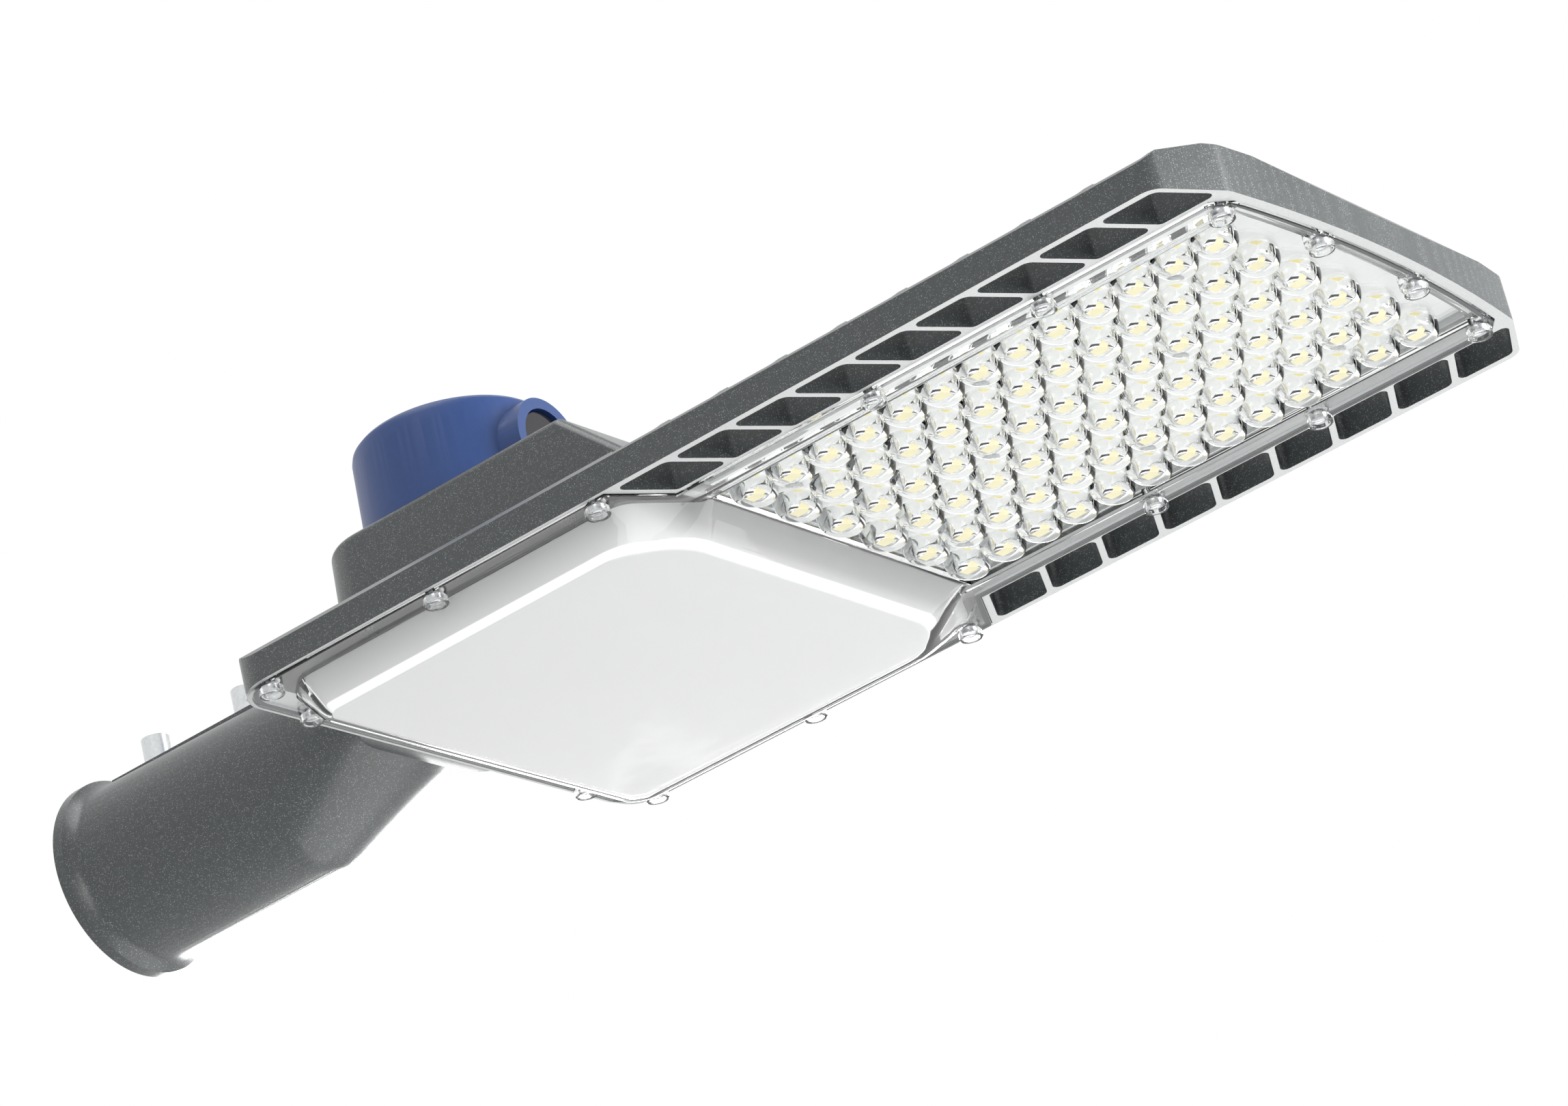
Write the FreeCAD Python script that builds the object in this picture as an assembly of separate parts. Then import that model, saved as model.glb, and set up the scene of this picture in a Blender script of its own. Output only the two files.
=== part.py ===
import FreeCAD
import Part
import math
import os

# LED street light head for a 60 mm pole end, cast housing with a moulded clear cover.
# Frame: origin at the middle of the pole socket's mouth, +X out along the road arm
# towards the tip, +Y across the head, +Z up. All sizes are in millimetres.

V = FreeCAD.Vector
X_AXIS = V(1, 0, 0)
Z_AXIS = V(0, 0, 1)

# General clearances
seat_gap = 0.3
hole_clearance = 0.2

# Light field: rows run across the head, one LED under each lens
led_pitch_x = 17.6
led_pitch_y = 27.35
led_rows = 13
led_columns = 6
chip_side = 5.0
chip_height = 1.0

# Housing plan
body_rear_x = 168.8
body_width = 251.0
driver_bay_length = 217.3
tip_margin = 32.1
rear_corner_radius = 20.0
tip_radius = 760.0
tip_corner_inset = 28.5
tip_cut_length = 14.0
tip_corner_radius = 12.0
tip_side_radius = 8.0

# Housing heights
rim_z = -17.2
side_height = 11.5
shoulder_width = 5.0
shoulder_rise = 4.0
crown_inset = 37.5
crown_z = 4.4
tip_slope_length = 42.0
tip_top_z = 1.2
tip_edge_width = 4.0
tip_edge_drop = 5.0

# Cooling slots along both sides
slot_count = 9
slot_rib = 3.05
slot_slant = 12.0
slot_lead = 24.1
slot_tip_margin = 18.55
slot_outer_wall = 3.2
slot_inner_margin = 17.05
slot_corner_radius = 2.5
slot_outer_radius = 4.5

# Seat of the clear cover and the hollows above it
ledge_depth = 3.2
ledge_width = 2.9
cover_lip = 2.0
cover_tip_lip = 4.5
screw_boss_radius = 3.9
driver_wall = 14.5
roof_z = -3.6
led_roof_z = -7.5
bay_wall = 4.0
web_thickness = 4.0

# Cooling fins on top of the light field
fin_count = 11
fin_pitch = 15.0
fin_thickness = 3.0
fin_top_z = 10.5
fin_field_lead = 6.1
fin_field_tip_margin = 23.4
fin_end_slope = 12.0

# Driver hump on top
hump_overhang = 11.5
hump_slot_gap = 6.0
hump_half_width = 51.0
hump_top_z = 64.6
hump_bottom_z = -13.2
hump_corner_radius = 28.0
hump_draft_deg = 2.5
hump_slope_length = 63.0
hump_edge_radius = 3.5
hump_wall = 4.0

# Pole socket
pole_diameter = 60.0
pole_clearance = 1.5
socket_depth = 95.0
socket_rim_radius = 42.6
socket_rim_width = 5.0
socket_blend = 7.0
socket_radius = 38.5
socket_end_radius = 37.0
hump_boss_length = 7.3
ramp_start_x = 104.5
ramp_end_x = 156.5
ramp_rise = 1.0
pad_half_width = 8.8
pad_top_z = 39.8
pad_start_x = 9.5
wire_way_radius = 10.0
wire_way_z = 6.0
wire_pocket_half_width = 30.0
wire_pocket_floor = 5.5

# Clamp screws and the bolts that hold the socket
clamp_screw_radius = 6.0
clamp_screw_first_x = 29.0
clamp_screw_spacing = 51.1
clamp_screw_stand = 12.1
clamp_hex_radius = 3.4
clamp_hex_depth = 6.0
socket_bolt_radius = 3.0
socket_bolt_head_radius = 5.0
socket_bolt_head_height = 6.0
socket_bolt_depth = 20.0
socket_bolt_y = 23.0
socket_bolt_upper_z = 18.0
socket_bolt_lower_z = 2.0
socket_bolt_seat = 3.0

# Clear cover
cover_thickness = 3.0
gasket_thickness = 1.2
gasket_width = 2.2
gasket_inset = 0.5
dome_wall = 2.5
dome_overlap = 0.5
dome_rear_cut = 13.0
dome_front_cut = 21.0
dome_shoulder_front_cut = 19.0
dome_face_front_cut = 16.0
dome_depth = 11.0
dome_shoulder_depth = 8.4
dome_rear_margin = 13.2
dome_side_margin = 12.5
dome_rear_slope = 7.9
dome_front_slope = 18.3
dome_side_slope = 15.5
field_recess = 4.2
field_thickness = 2.0
field_wall = 1.6
field_rear_wall = 2.1
screw_ear_radius = 5.8
lens_height = 6.8
lens_levels = ((1.0, 0.0), (0.96, 0.3), (0.78, 0.72), (0.42, 1.0))
lens_width = 16.2
lens_length = 24.0
lens_sides = 12
lens_groove_depth = 1.6
lens_groove_width = 7.0
cup_radius = 4.6
cup_height = 2.5
cup_bore = 3.4
cover_screw_radius = 1.9
cover_screw_head_radius = 3.1
cover_screw_head_height = 1.8
cover_screw_length = 11.0
cover_screw_rear = 4.0
cover_screw_front = 27.3
cover_screw_share = 0.512
cover_screw_rows = (4.2, 8.6)
rear_screw_y = 84.0
corner_screw_back = 2.3
corner_screw_inset = 4.0
tip_screw_y = 32.5
cup_gap = 0.3

# Light board
board_thickness = 1.6
board_margin = 9.0
board_tip_margin = 17.8
board_tongue_length = 12.0
board_tongue_half_width = 13.0
thermal_pad_thickness = 0.5
board_screw_radius = 1.9
board_screw_head_radius = 3.5
board_screw_head_height = 1.5
board_screw_length = 5.5
plug_length = 7.0
plug_width = 16.0
plug_height = 5.0

# Driver compartment
shroud_thickness = 1.2
shroud_margin = 14.5
shroud_lug = 12.0
shroud_lug_thickness = 3.0
driver_plate_thickness = 1.5
driver_plate_gap = 2.9
plate_front_gap = 72.3
driver_plate_half_width = 68.0
driver_front_gap = 15.0
driver_half_width = 33.0
driver_height = 36.0
driver_rear_gap = 2.8
driver_foot_length = 8.0
terminal_size = V(42.0, 24.0, 14.0)
terminal_ways = 5
terminal_mouth = 5.0
terminal_inset = 20.0
surge_size = V(48.0, 30.0, 16.0)
surge_x = 80.0
surge_y = 8.0
surge_edge_radius = 2.0
shroud_screw_rear = 45.0
shroud_screw_front = 50.3
plate_screw_inset = 8.0
plate_screw_rear = 14.0
earth_x = 30.0
earth_gap = 12.0
earth_washer_half = 6.0
earth_washer_thickness = 1.5
small_screw_radius = 1.9
small_head_radius = 3.6
small_head_height = 2.0
grommet_flange = 3.0
grommet_bore = 5.0

# Twist-lock receptacle and photocontrol on the hump
control_setback = 50.7
cap_base_radius = 42.0
cap_top_radius = 40.8
cap_top_z = 106.8
cap_edge_radius = 4.4
cap_wall = 2.5
window_z = 82.7
window_radius = 14.8
window_ring_radius = 19.7
window_reach = 47.4
window_recess = 1.8
window_thickness = 2.5
window_edge = 0.6
receptacle_radius = 29.0
receptacle_depth = 22.0
receptacle_flange_radius = 35.0
receptacle_flange_height = 3.0
receptacle_gasket_thickness = 1.0
control_gasket_thickness = 1.5
control_base_thickness = 3.0
blade_circle_radius = 17.0
blade_thickness = 1.6
blade_arc_deg = 40.0
blade_length = 16.0
control_board_radius = 33.0
control_board_thickness = 1.6
control_post_height = 5.0
control_post_radius = 2.5
control_post_circle = 26.0
receptacle_screw_inset = 5.0
sensor_x = 26.0
sensor_depth = 3.0
sensor_half_width = 4.0
relay_x = -22.0
relay_length = 20.0
relay_half_width = 10.0
relay_height = 14.0

# Values that follow from the sizes above
half_width = body_width / 2.0
first_led_x = body_rear_x + driver_bay_length
side_top_z = rim_z + side_height
ledge_z = rim_z + ledge_depth
flange_top_z = ledge_z - gasket_thickness
flange_low_z = flange_top_z - cover_thickness
panel_low_z = flange_low_z + field_recess
panel_top_z = panel_low_z + field_thickness
last_led_x = first_led_x + (led_rows - 1) * led_pitch_x
body_tip_x = last_led_x + tip_margin
tip_corner_y = half_width - tip_corner_inset
crown_half_width = half_width - crown_inset
board_half_width = led_columns * led_pitch_y / 2.0
slot_outer_y = half_width - slot_outer_wall
slot_inner_y = board_half_width + slot_inner_margin
slot_first_x = first_led_x - slot_lead
slot_pitch = (body_tip_x - slot_tip_margin - slot_first_x) / slot_count
slot_length = slot_pitch - slot_rib
fin_field_start_x = first_led_x - fin_field_lead
fin_field_end_x = body_tip_x - fin_field_tip_margin
hump_rear_x = body_rear_x - hump_overhang
hump_front_x = slot_first_x - hump_slot_gap
hump_top_front_x = hump_front_x - hump_slope_length
socket_joint_x = hump_rear_x - hump_boss_length
dome_base_rear_x = body_rear_x + dome_rear_margin
dome_base_front_x = first_led_x - led_pitch_x / 2.0
dome_base_half_width = half_width - dome_side_margin
dome_face_rear_x = dome_base_rear_x + dome_rear_slope
dome_face_front_x = dome_base_front_x - dome_front_slope
dome_face_half_width = dome_base_half_width - dome_side_slope
control_x = hump_rear_x + control_setback
window_front_x = control_x + window_reach
board_rear_x = first_led_x - board_margin
board_front_x = last_led_x + board_tip_margin
pad_low_z = led_roof_z - thermal_pad_thickness
board_low_z = pad_low_z - board_thickness
bore_radius = pole_diameter / 2.0 + pole_clearance
shroud_half_width = half_width - shroud_margin
driver_cavity_rear_x = body_rear_x + driver_wall
driver_plate_rear_x = driver_cavity_rear_x + driver_plate_gap
driver_plate_length = driver_bay_length - plate_front_gap
driver_rear_x = driver_plate_rear_x + driver_rear_gap
driver_length = driver_plate_length - driver_front_gap
led_cavity_rear_x = dome_base_front_x - field_rear_wall - seat_gap
driver_cavity_front_x = led_cavity_rear_x - bay_wall
cover_side_y = half_width - cover_lip - hole_clearance
cover_led_y = slot_inner_y - cover_lip - hole_clearance
cover_rear_x = body_rear_x + cover_lip + hole_clearance
slot_lean = slot_slant / (slot_outer_y - slot_inner_y)
plate_low_z = roof_z - driver_plate_thickness
ramp_end_depth = -hump_bottom_z - ramp_rise


def box(x0, x1, y0, y1, z0, z1):
    """A block between two values on each axis."""
    return Part.makeBox(x1 - x0, y1 - y0, z1 - z0, V(x0, y0, z0))


def rod(radius, start, length, axis):
    """A round bar from a start point along an axis."""
    return Part.makeCylinder(radius, length, start, axis)


def prism(points, z0, z1):
    """An upright prism on a plan outline given as (x, y) corners."""
    loop = [V(x, y, z0) for x, y in points]
    face = Part.Face(Part.makePolygon(loop + loop[:1]))
    return face.extrude(V(0, 0, z1 - z0))


def side_prism(points, y0, y1):
    """A prism across the head on a side outline given as (x, z) corners."""
    loop = [V(x, y0, z) for x, z in points]
    face = Part.Face(Part.makePolygon(loop + loop[:1]))
    return face.extrude(V(0, y1 - y0, 0))


def cross_prism(points, x0, x1):
    """A prism along the head on a cross outline given as (y, z) corners."""
    loop = [V(x0, y, z) for y, z in points]
    face = Part.Face(Part.makePolygon(loop + loop[:1]))
    return face.extrude(V(x1 - x0, 0, 0))


def upright_edges(shape, x, y, reach=0.5):
    """The upright edges of a prism that stand at a plan corner."""
    found = []
    for edge in shape.Edges:
        ends = [vertex.Point for vertex in edge.Vertexes]
        if len(ends) == 2 and all(math.hypot(p.x - x, p.y - y) < reach for p in ends):
            found.append(edge)
    return found


def join(shapes):
    """One solid from pieces that overlap or share faces."""
    return shapes[0].multiFuse(shapes[1:]).removeSplitter()


def tip_x(y, inset):
    """The bowed tip edge, set in from the housing's own edge."""
    radius = tip_radius - inset
    return body_tip_x - tip_radius + math.sqrt(radius * radius - y * y)


def bowed_prism(corners, inset, tip_y, z0, z1):
    """A plan prism on half-outline corners, closed by the bowed tip edge."""
    near = [V(x, -y, z0) for x, y in corners]
    far = [V(x, y, z0) for x, y in corners]
    near_end = V(tip_x(tip_y, inset), -tip_y, z0)
    far_end = V(tip_x(tip_y, inset), tip_y, z0)
    middle = V(tip_x(0.0, inset), 0, z0)
    loop = [far_end] + far[::-1] + near + [near_end]
    edges = [Part.LineSegment(a, b).toShape() for a, b in zip(loop, loop[1:])]
    edges.append(Part.Arc(near_end, middle, far_end).toShape())
    return Part.Face(Part.Wire(edges)).extrude(V(0, 0, z1 - z0))


def led_places():
    """The middle of every LED, row by row."""
    places = []
    for row in range(led_rows):
        for column in range(led_columns):
            y = (column - (led_columns - 1) / 2.0) * led_pitch_y
            places.append((first_led_x + row * led_pitch_x, y))
    return places


def board_screw_places():
    """Between four lenses at each end and on the middle line."""
    places = []
    for row, column in ((0.5, 0.5), (5.5, 0.5), (10.5, 0.5), (3.5, 2.5), (8.5, 2.5)):
        x = first_led_x + row * led_pitch_x
        y = (column - (led_columns - 1) / 2.0) * led_pitch_y
        places.append((x, y))
        if abs(y) > 1.0:
            places.append((x, -y))
    return places


def cover_screw_places():
    """Along both edges of the cover, at the tip and at the rear."""
    driver_y = (dome_base_half_width + cover_side_y) / 2.0
    led_y = cover_led_y - cup_radius - cup_gap
    first_x = dome_base_rear_x + cover_screw_rear
    last_x = dome_base_front_x - cover_screw_front
    half = [
        (first_x, driver_y),
        (first_x + (last_x - first_x) * cover_screw_share, driver_y),
        (last_x, driver_y),
        (first_led_x + cover_screw_rows[0] * led_pitch_x, led_y),
        (first_led_x + cover_screw_rows[1] * led_pitch_x, led_y),
        (board_front_x - corner_screw_back, led_y - corner_screw_inset),
        (tip_x(tip_screw_y, cover_tip_lip) - cup_radius - cup_gap, tip_screw_y),
        (cover_rear_x + cup_radius + cup_gap, rear_screw_y),
    ]
    return half + [(x, -y) for x, y in half]


def crowned_slab():
    """The flat body: a plan outline met by a low crowned cross-section."""
    tip_side_x = tip_x(tip_corner_y, 0.0) - tip_cut_length
    outline = [(body_rear_x, half_width), (tip_side_x, half_width)]
    plan = bowed_prism(outline, 0.0, tip_corner_y, rim_z, crown_z + 20.0)
    for x, y, radius in (
        (body_rear_x, half_width, rear_corner_radius),
        (tip_side_x, half_width, tip_side_radius),
        (tip_x(tip_corner_y, 0.0), tip_corner_y, tip_corner_radius),
    ):
        for side in (-1, 1):
            plan = plan.makeFillet(radius, upright_edges(plan, x, side * y))
    inner_y = half_width - shoulder_width
    shoulder_z = side_top_z + shoulder_rise
    section = [
        (-half_width, rim_z),
        (-half_width, side_top_z),
        (-inner_y, shoulder_z),
        (-crown_half_width, crown_z),
        (crown_half_width, crown_z),
        (inner_y, shoulder_z),
        (half_width, side_top_z),
        (half_width, rim_z),
    ]
    side = [
        (body_rear_x, rim_z),
        (body_rear_x, crown_z),
        (body_tip_x - tip_slope_length, crown_z),
        (body_tip_x - tip_edge_width, tip_top_z),
        (body_tip_x, tip_top_z - tip_edge_drop),
        (body_tip_x, rim_z),
    ]
    crown = cross_prism(section, body_rear_x, body_tip_x)
    return plan.common(crown).common(side_prism(side, -half_width, half_width))


def hump_form(wall, bottom_z):
    """The driver hump's form, drafted, with its front sloped down to the slab."""
    top_z = hump_top_z - wall
    rise = top_z - bottom_z
    draft = rise * math.tan(math.radians(hump_draft_deg))
    x0 = hump_rear_x + wall
    x1 = hump_front_x + 10.0
    half = hump_half_width - wall
    radius = hump_corner_radius - wall
    across = [(-half, bottom_z), (half, bottom_z), (half - draft, top_z), (draft - half, top_z)]
    along = [(x0, bottom_z), (x1, bottom_z), (x1 - draft, top_z), (x0 + draft, top_z)]
    parts = [cross_prism(across, x0 + radius, x1 - radius)]
    parts.append(side_prism(along, radius - half, half - radius))
    for x in (x0 + radius, x1 - radius):
        for y in (radius - half, half - radius):
            parts.append(Part.makeCone(radius, radius - draft, rise, V(x, y, bottom_z), Z_AXIS))
    form = join(parts)
    lean = (hump_front_x - hump_top_front_x) / (hump_top_z - crown_z)
    back = wall * math.hypot(1.0, lean)
    foot_x = hump_front_x - back + (crown_z - bottom_z) * lean
    head_x = hump_top_front_x - back - 20.0 * lean
    above_z = hump_top_z + 20.0
    slope = [(foot_x, bottom_z), (head_x, above_z), (x1 + 60.0, above_z), (x1 + 60.0, bottom_z)]
    form = form.cut(side_prism(slope, -body_width, body_width))
    if wall > 0.0:
        return form
    rims = []
    for edge in form.Edges:
        first, last = edge.Vertexes[0].Point, edge.Vertexes[-1].Point
        level = min(first.z, last.z) > top_z - 0.1
        sloping = max(first.z, last.z) > top_z - 0.1 and abs(first.x - last.x) > hump_edge_radius
        if level or sloping:
            rims.append(edge)
    return form.makeFillet(hump_edge_radius, rims)


def keel_section(x, half):
    """The lower half of a socket section: a half ellipse that flattens along the ramp."""
    share = min((x - ramp_start_x) / (ramp_end_x - ramp_start_x), 1.0)
    depth = half + (ramp_end_depth - half) * share
    arc = Part.Arc(V(0, -1, 0), V(0, 0, -1), V(0, 1, 0)).toShape()
    place = FreeCAD.Matrix()
    place.scale(1.0, half, depth)
    place.move(V(x, 0, 0))
    chord = Part.makeLine(V(x, half, 0), V(x, -half, 0))
    return Part.Wire([arc.transformGeometry(place), chord])


def socket_tube(x0, x1):
    """The outside of the socket between two stations, with its top pad."""
    reach = socket_joint_x - socket_rim_width - socket_blend
    fall = (socket_radius - socket_end_radius) / reach

    def radius_at(x):
        return socket_radius - (x - socket_rim_width - socket_blend) * fall

    blend_x = socket_rim_width + socket_blend
    if x0 < blend_x:
        drop = socket_rim_radius - radius_at(blend_x)
        bends = [(blend_x - socket_blend * u, radius_at(blend_x) + drop * u * u) for u in (1.0, 0.7, 0.35)]
        profile = [(x0, 0), (x0, socket_rim_radius)] + bends
        profile += [(blend_x, radius_at(blend_x)), (x1, radius_at(x1)), (x1, 0)]
        loop = [V(x, 0, r) for x, r in profile]
        outline = Part.makePolygon(loop + loop[:1])
        form = Part.Face(outline).revolve(V(0, 0, 0), X_AXIS, 360)
    else:
        form = Part.makeCone(radius_at(x0), radius_at(x1), x1 - x0, V(x0, 0, 0), X_AXIS)
    pad_x = max(x0, pad_start_x)
    pad = box(pad_x, x1, -pad_half_width, pad_half_width, bore_radius / 2.0, pad_top_z)
    keel_x = max(x0, ramp_start_x)
    stations = [x for x in (keel_x, ramp_end_x, x1) if keel_x <= x <= x1]
    sections = [keel_section(x, radius_at(x)) for x in sorted(set(stations))]
    keel = Part.makeLoft(sections, True, True)
    under = box(keel_x, x1 + 1.0, -body_width, body_width, -body_width, 0.0)
    return join([form.cut(under), keel, pad])


def cover_outline(inset):
    """Half-outline corners of the cover, wide at the driver and narrow at the slots."""
    lean_back = math.hypot(1.0, slot_lean)
    edge_x = slot_first_x - (cover_lip + hole_clearance + 1.0 + inset) * lean_back
    side_y = cover_side_y - inset
    led_y = cover_led_y - inset
    wide_x = edge_x + (slot_outer_y - side_y) * slot_lean
    narrow_x = edge_x + (slot_outer_y - led_y) * slot_lean
    front_x = tip_x(led_y, cover_tip_lip + inset) - 5.0
    return [(cover_rear_x + inset, side_y), (wide_x, side_y), (narrow_x, led_y), (front_x, led_y)]


def cover_prism(inset, z0, z1):
    """An upright prism on the cover's outline, set in all round."""
    tip_y = cover_led_y - inset - 8.0
    outline = cover_outline(inset)
    form = bowed_prism(outline, cover_tip_lip + inset, tip_y, z0, z1)
    x, y = outline[0]
    radius = max(rear_corner_radius - cover_lip - inset, cover_lip)
    for side in (-1, 1):
        form = form.makeFillet(radius, upright_edges(form, x, side * y))
    return form


def dome_section(rear_x, front_x, half, front_cut, inset, z):
    """One level of the driver dome: a rectangle with cut corners."""
    rear_cut = dome_rear_cut
    reach = inset * 0.45
    corners = [
        (rear_x + inset, half - rear_cut - reach),
        (rear_x + rear_cut + reach, half - inset),
        (front_x - front_cut - reach, half - inset),
        (front_x - front_cut * 0.25 - inset, half - front_cut * 1.25),
        (front_x - inset, half - front_cut * 1.25 - 5.0),
    ]
    loop = [V(x, y, z) for x, y in corners] + [V(x, -y, z) for x, y in corners[::-1]]
    return Part.makePolygon(loop + loop[:1])


def dome_form(inset, base_z):
    """The driver dome as a form, set in for its inside and for the shroud."""
    shoulder_x = (dome_base_rear_x + 2.0 * dome_face_rear_x) / 3.0
    shoulder_front_x = (dome_base_front_x + dome_face_front_x) / 2.0
    shoulder_half = (dome_base_half_width + dome_face_half_width) / 2.0 - 2.0
    low = flange_low_z - dome_depth + inset
    shoulder = flange_low_z - dome_shoulder_depth + inset
    levels = (
        (dome_face_rear_x, dome_face_front_x, dome_face_half_width, dome_face_front_cut, low),
        (shoulder_x, shoulder_front_x, shoulder_half, dome_shoulder_front_cut, shoulder),
        (dome_base_rear_x, dome_base_front_x, dome_base_half_width, dome_front_cut, base_z),
    )
    sections = []
    for rear_x, front_x, half, front_cut, z in levels:
        sections.append(dome_section(rear_x, front_x, half, front_cut, inset, z))
    return Part.makeLoft(sections, True, True)


def slot_prism(number, side):
    """One cooling slot, leaning towards the tip on its inner side."""
    x = slot_first_x + number * slot_pitch
    corners = [
        (x, side * slot_outer_y),
        (x + slot_length, side * slot_outer_y),
        (x + slot_length + slot_slant, side * slot_inner_y),
        (x + slot_slant, side * slot_inner_y),
    ]
    form = prism(corners, rim_z - 5.0, crown_z + 20.0)
    radii = (slot_corner_radius, slot_outer_radius, slot_corner_radius, slot_corner_radius)
    for (cx, cy), radius in zip(corners, radii):
        form = form.makeFillet(radius, upright_edges(form, cx, cy))
    return form


def fin(number):
    """One cooling fin along the head, its ends sloped for the mould."""
    y = (number - (fin_count - 1) / 2.0) * fin_pitch
    low = led_roof_z + web_thickness - 0.5
    outline = [
        (fin_field_start_x - 1.0, low),
        (fin_field_start_x - 1.0, crown_z),
        (fin_field_start_x + fin_end_slope, fin_top_z),
        (fin_field_end_x - fin_end_slope, fin_top_z),
        (fin_field_end_x + 1.0, crown_z - 1.0),
        (fin_field_end_x + 1.0, low),
    ]
    return side_prism(outline, y - fin_thickness / 2.0, y + fin_thickness / 2.0)


def socket_bolt_places():
    """Two bolts each side of the wire way."""
    places = []
    for y in (-socket_bolt_y, socket_bolt_y):
        places.append((y, socket_bolt_upper_z))
        places.append((y, socket_bolt_lower_z))
    return places


def housing():
    """The die-cast body with hump, slots, fins, cover seat and hollows."""
    hump = hump_form(0.0, hump_bottom_z)
    boss = socket_tube(socket_joint_x, hump_rear_x + hump_wall + socket_bolt_seat)
    body = join([crowned_slab(), hump, boss])
    fin_half = (fin_count - 1) / 2.0 * fin_pitch + fin_pitch / 2.0
    top_pocket = box(
        fin_field_start_x, fin_field_end_x, -fin_half, fin_half,
        led_roof_z + web_thickness, crown_z + 20.0,
    )
    seat = cover_prism(-hole_clearance, rim_z - 5.0, ledge_z)
    hollow = cover_prism(ledge_width, ledge_z - 1.0, roof_z)
    driver_cavity = hollow.common(box(
        driver_cavity_rear_x, driver_cavity_front_x, -half_width, half_width, ledge_z - 1.0, roof_z,
    ))
    led_cavity = hollow.common(box(
        led_cavity_rear_x, body_tip_x, -half_width, half_width, ledge_z - 1.0, led_roof_z,
    ))
    bosses = [rod(screw_boss_radius, V(x, y, ledge_z), roof_z + 0.5 - ledge_z, Z_AXIS)
              for x, y in cover_screw_places()]
    tongue_way = box(
        led_cavity_rear_x - 10.0, led_cavity_rear_x + 1.0,
        -board_tongue_half_width - 1.0, board_tongue_half_width + 1.0, ledge_z - 1.0, led_roof_z,
    )
    body = join([body.cut(Part.makeCompound([driver_cavity, led_cavity]))] + bosses)
    cuts = [top_pocket, seat, tongue_way]
    cuts.append(hump_form(hump_wall, roof_z - 1.0))
    for number in range(slot_count):
        cuts.append(slot_prism(number, -1))
        cuts.append(slot_prism(number, 1))
    wire_start = V(socket_joint_x - 1.0, 0, wire_way_z)
    wire_length = hump_rear_x + hump_wall + 5.0 - socket_joint_x
    cuts.append(rod(wire_way_radius, wire_start, wire_length, X_AXIS))
    cuts.append(box(
        hump_rear_x + hump_wall + socket_bolt_seat, driver_cavity_rear_x + 1.0,
        -wire_pocket_half_width, wire_pocket_half_width, ledge_z + wire_pocket_floor, roof_z,
    ))
    for y, z in socket_bolt_places():
        start = V(socket_joint_x - 1.0, y, z)
        cuts.append(rod(socket_bolt_radius + hole_clearance, start, wire_length, X_AXIS))
    pilot = cover_screw_radius + hole_clearance
    for x, y in cover_screw_places():
        cuts.append(rod(pilot, V(x, y, ledge_z - 1.0), cover_screw_length - 3.0, Z_AXIS))
    for x, y in board_screw_places():
        depth = board_screw_length - board_thickness - thermal_pad_thickness + 0.5
        start = V(x, y, led_roof_z - 0.5)
        cuts.append(rod(board_screw_radius + hole_clearance, start, depth, Z_AXIS))
    socket_hole = V(control_x, 0, hump_top_z - hump_wall - 1.0)
    cuts.append(rod(receptacle_radius + hole_clearance, socket_hole, hump_wall + 2.0, Z_AXIS))
    for x, y in driver_plate_screw_places() + shroud_screw_places() + [earth_place()]:
        start = V(x, y, roof_z - 0.5)
        cuts.append(rod(small_screw_radius + hole_clearance, start, 4.5, Z_AXIS))
    body = body.cut(Part.makeCompound(cuts))
    fins = [fin(number) for number in range(fin_count)]
    return join([body] + fins)


def driver_plate_screw_places():
    """The four corners of the driver plate."""
    front_x = driver_plate_rear_x + driver_plate_length
    screw_y = driver_plate_half_width - plate_screw_inset
    places = []
    for x in (driver_plate_rear_x + plate_screw_rear, front_x - plate_screw_inset):
        for y in (screw_y, -screw_y):
            places.append((x, y))
    return places


def shroud_screw_places():
    """Two lugs on each side wall of the shroud."""
    y = shroud_half_width - seat_gap - shroud_lug / 2.0
    places = []
    for x in (dome_base_rear_x + shroud_screw_rear, dome_base_front_x - shroud_screw_front):
        places.append((x, y))
        places.append((x, -y))
    return places


def earth_place():
    """The earth screw stands beside the driver plate."""
    return (driver_plate_rear_x + earth_x, -(driver_plate_half_width + earth_gap))


def pole_socket():
    """The cast pole socket: a blind bore, a stiff rim, a top pad and a ramp."""
    form = socket_tube(0.0, socket_joint_x)
    bore = rod(bore_radius, V(-1, 0, 0), socket_depth + 1.0, X_AXIS)
    way = rod(wire_way_radius, V(socket_depth - 1.0, 0, wire_way_z), socket_joint_x, X_AXIS)
    cuts = [bore, way]
    for number in range(2):
        x = clamp_screw_first_x + number * clamp_screw_spacing
        start = V(x, 0, bore_radius / 2.0)
        cuts.append(rod(clamp_screw_radius + hole_clearance, start, socket_rim_radius, Z_AXIS))
    for y, z in socket_bolt_places():
        start = V(socket_joint_x - socket_bolt_depth - 1.0, y, z)
        cuts.append(rod(socket_bolt_radius + hole_clearance, start, socket_bolt_depth + 2.0, X_AXIS))
    return form.cut(Part.makeCompound(cuts))


def clamp_screws():
    """Two hollow-hex screws that press on the pole."""
    tip_z = bore_radius + seat_gap
    screws = []
    for number in range(2):
        x = clamp_screw_first_x + number * clamp_screw_spacing
        top_z = pad_top_z + clamp_screw_stand
        body = rod(clamp_screw_radius, V(x, 0, tip_z), top_z - tip_z, Z_AXIS)
        hexagon = []
        for turn in range(6):
            angle = math.radians(60 * turn)
            hexagon.append((x + clamp_hex_radius * math.cos(angle), clamp_hex_radius * math.sin(angle)))
        screws.append(body.cut(prism(hexagon, top_z - clamp_hex_depth, top_z + 1.0)))
    return Part.makeCompound(screws)


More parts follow.
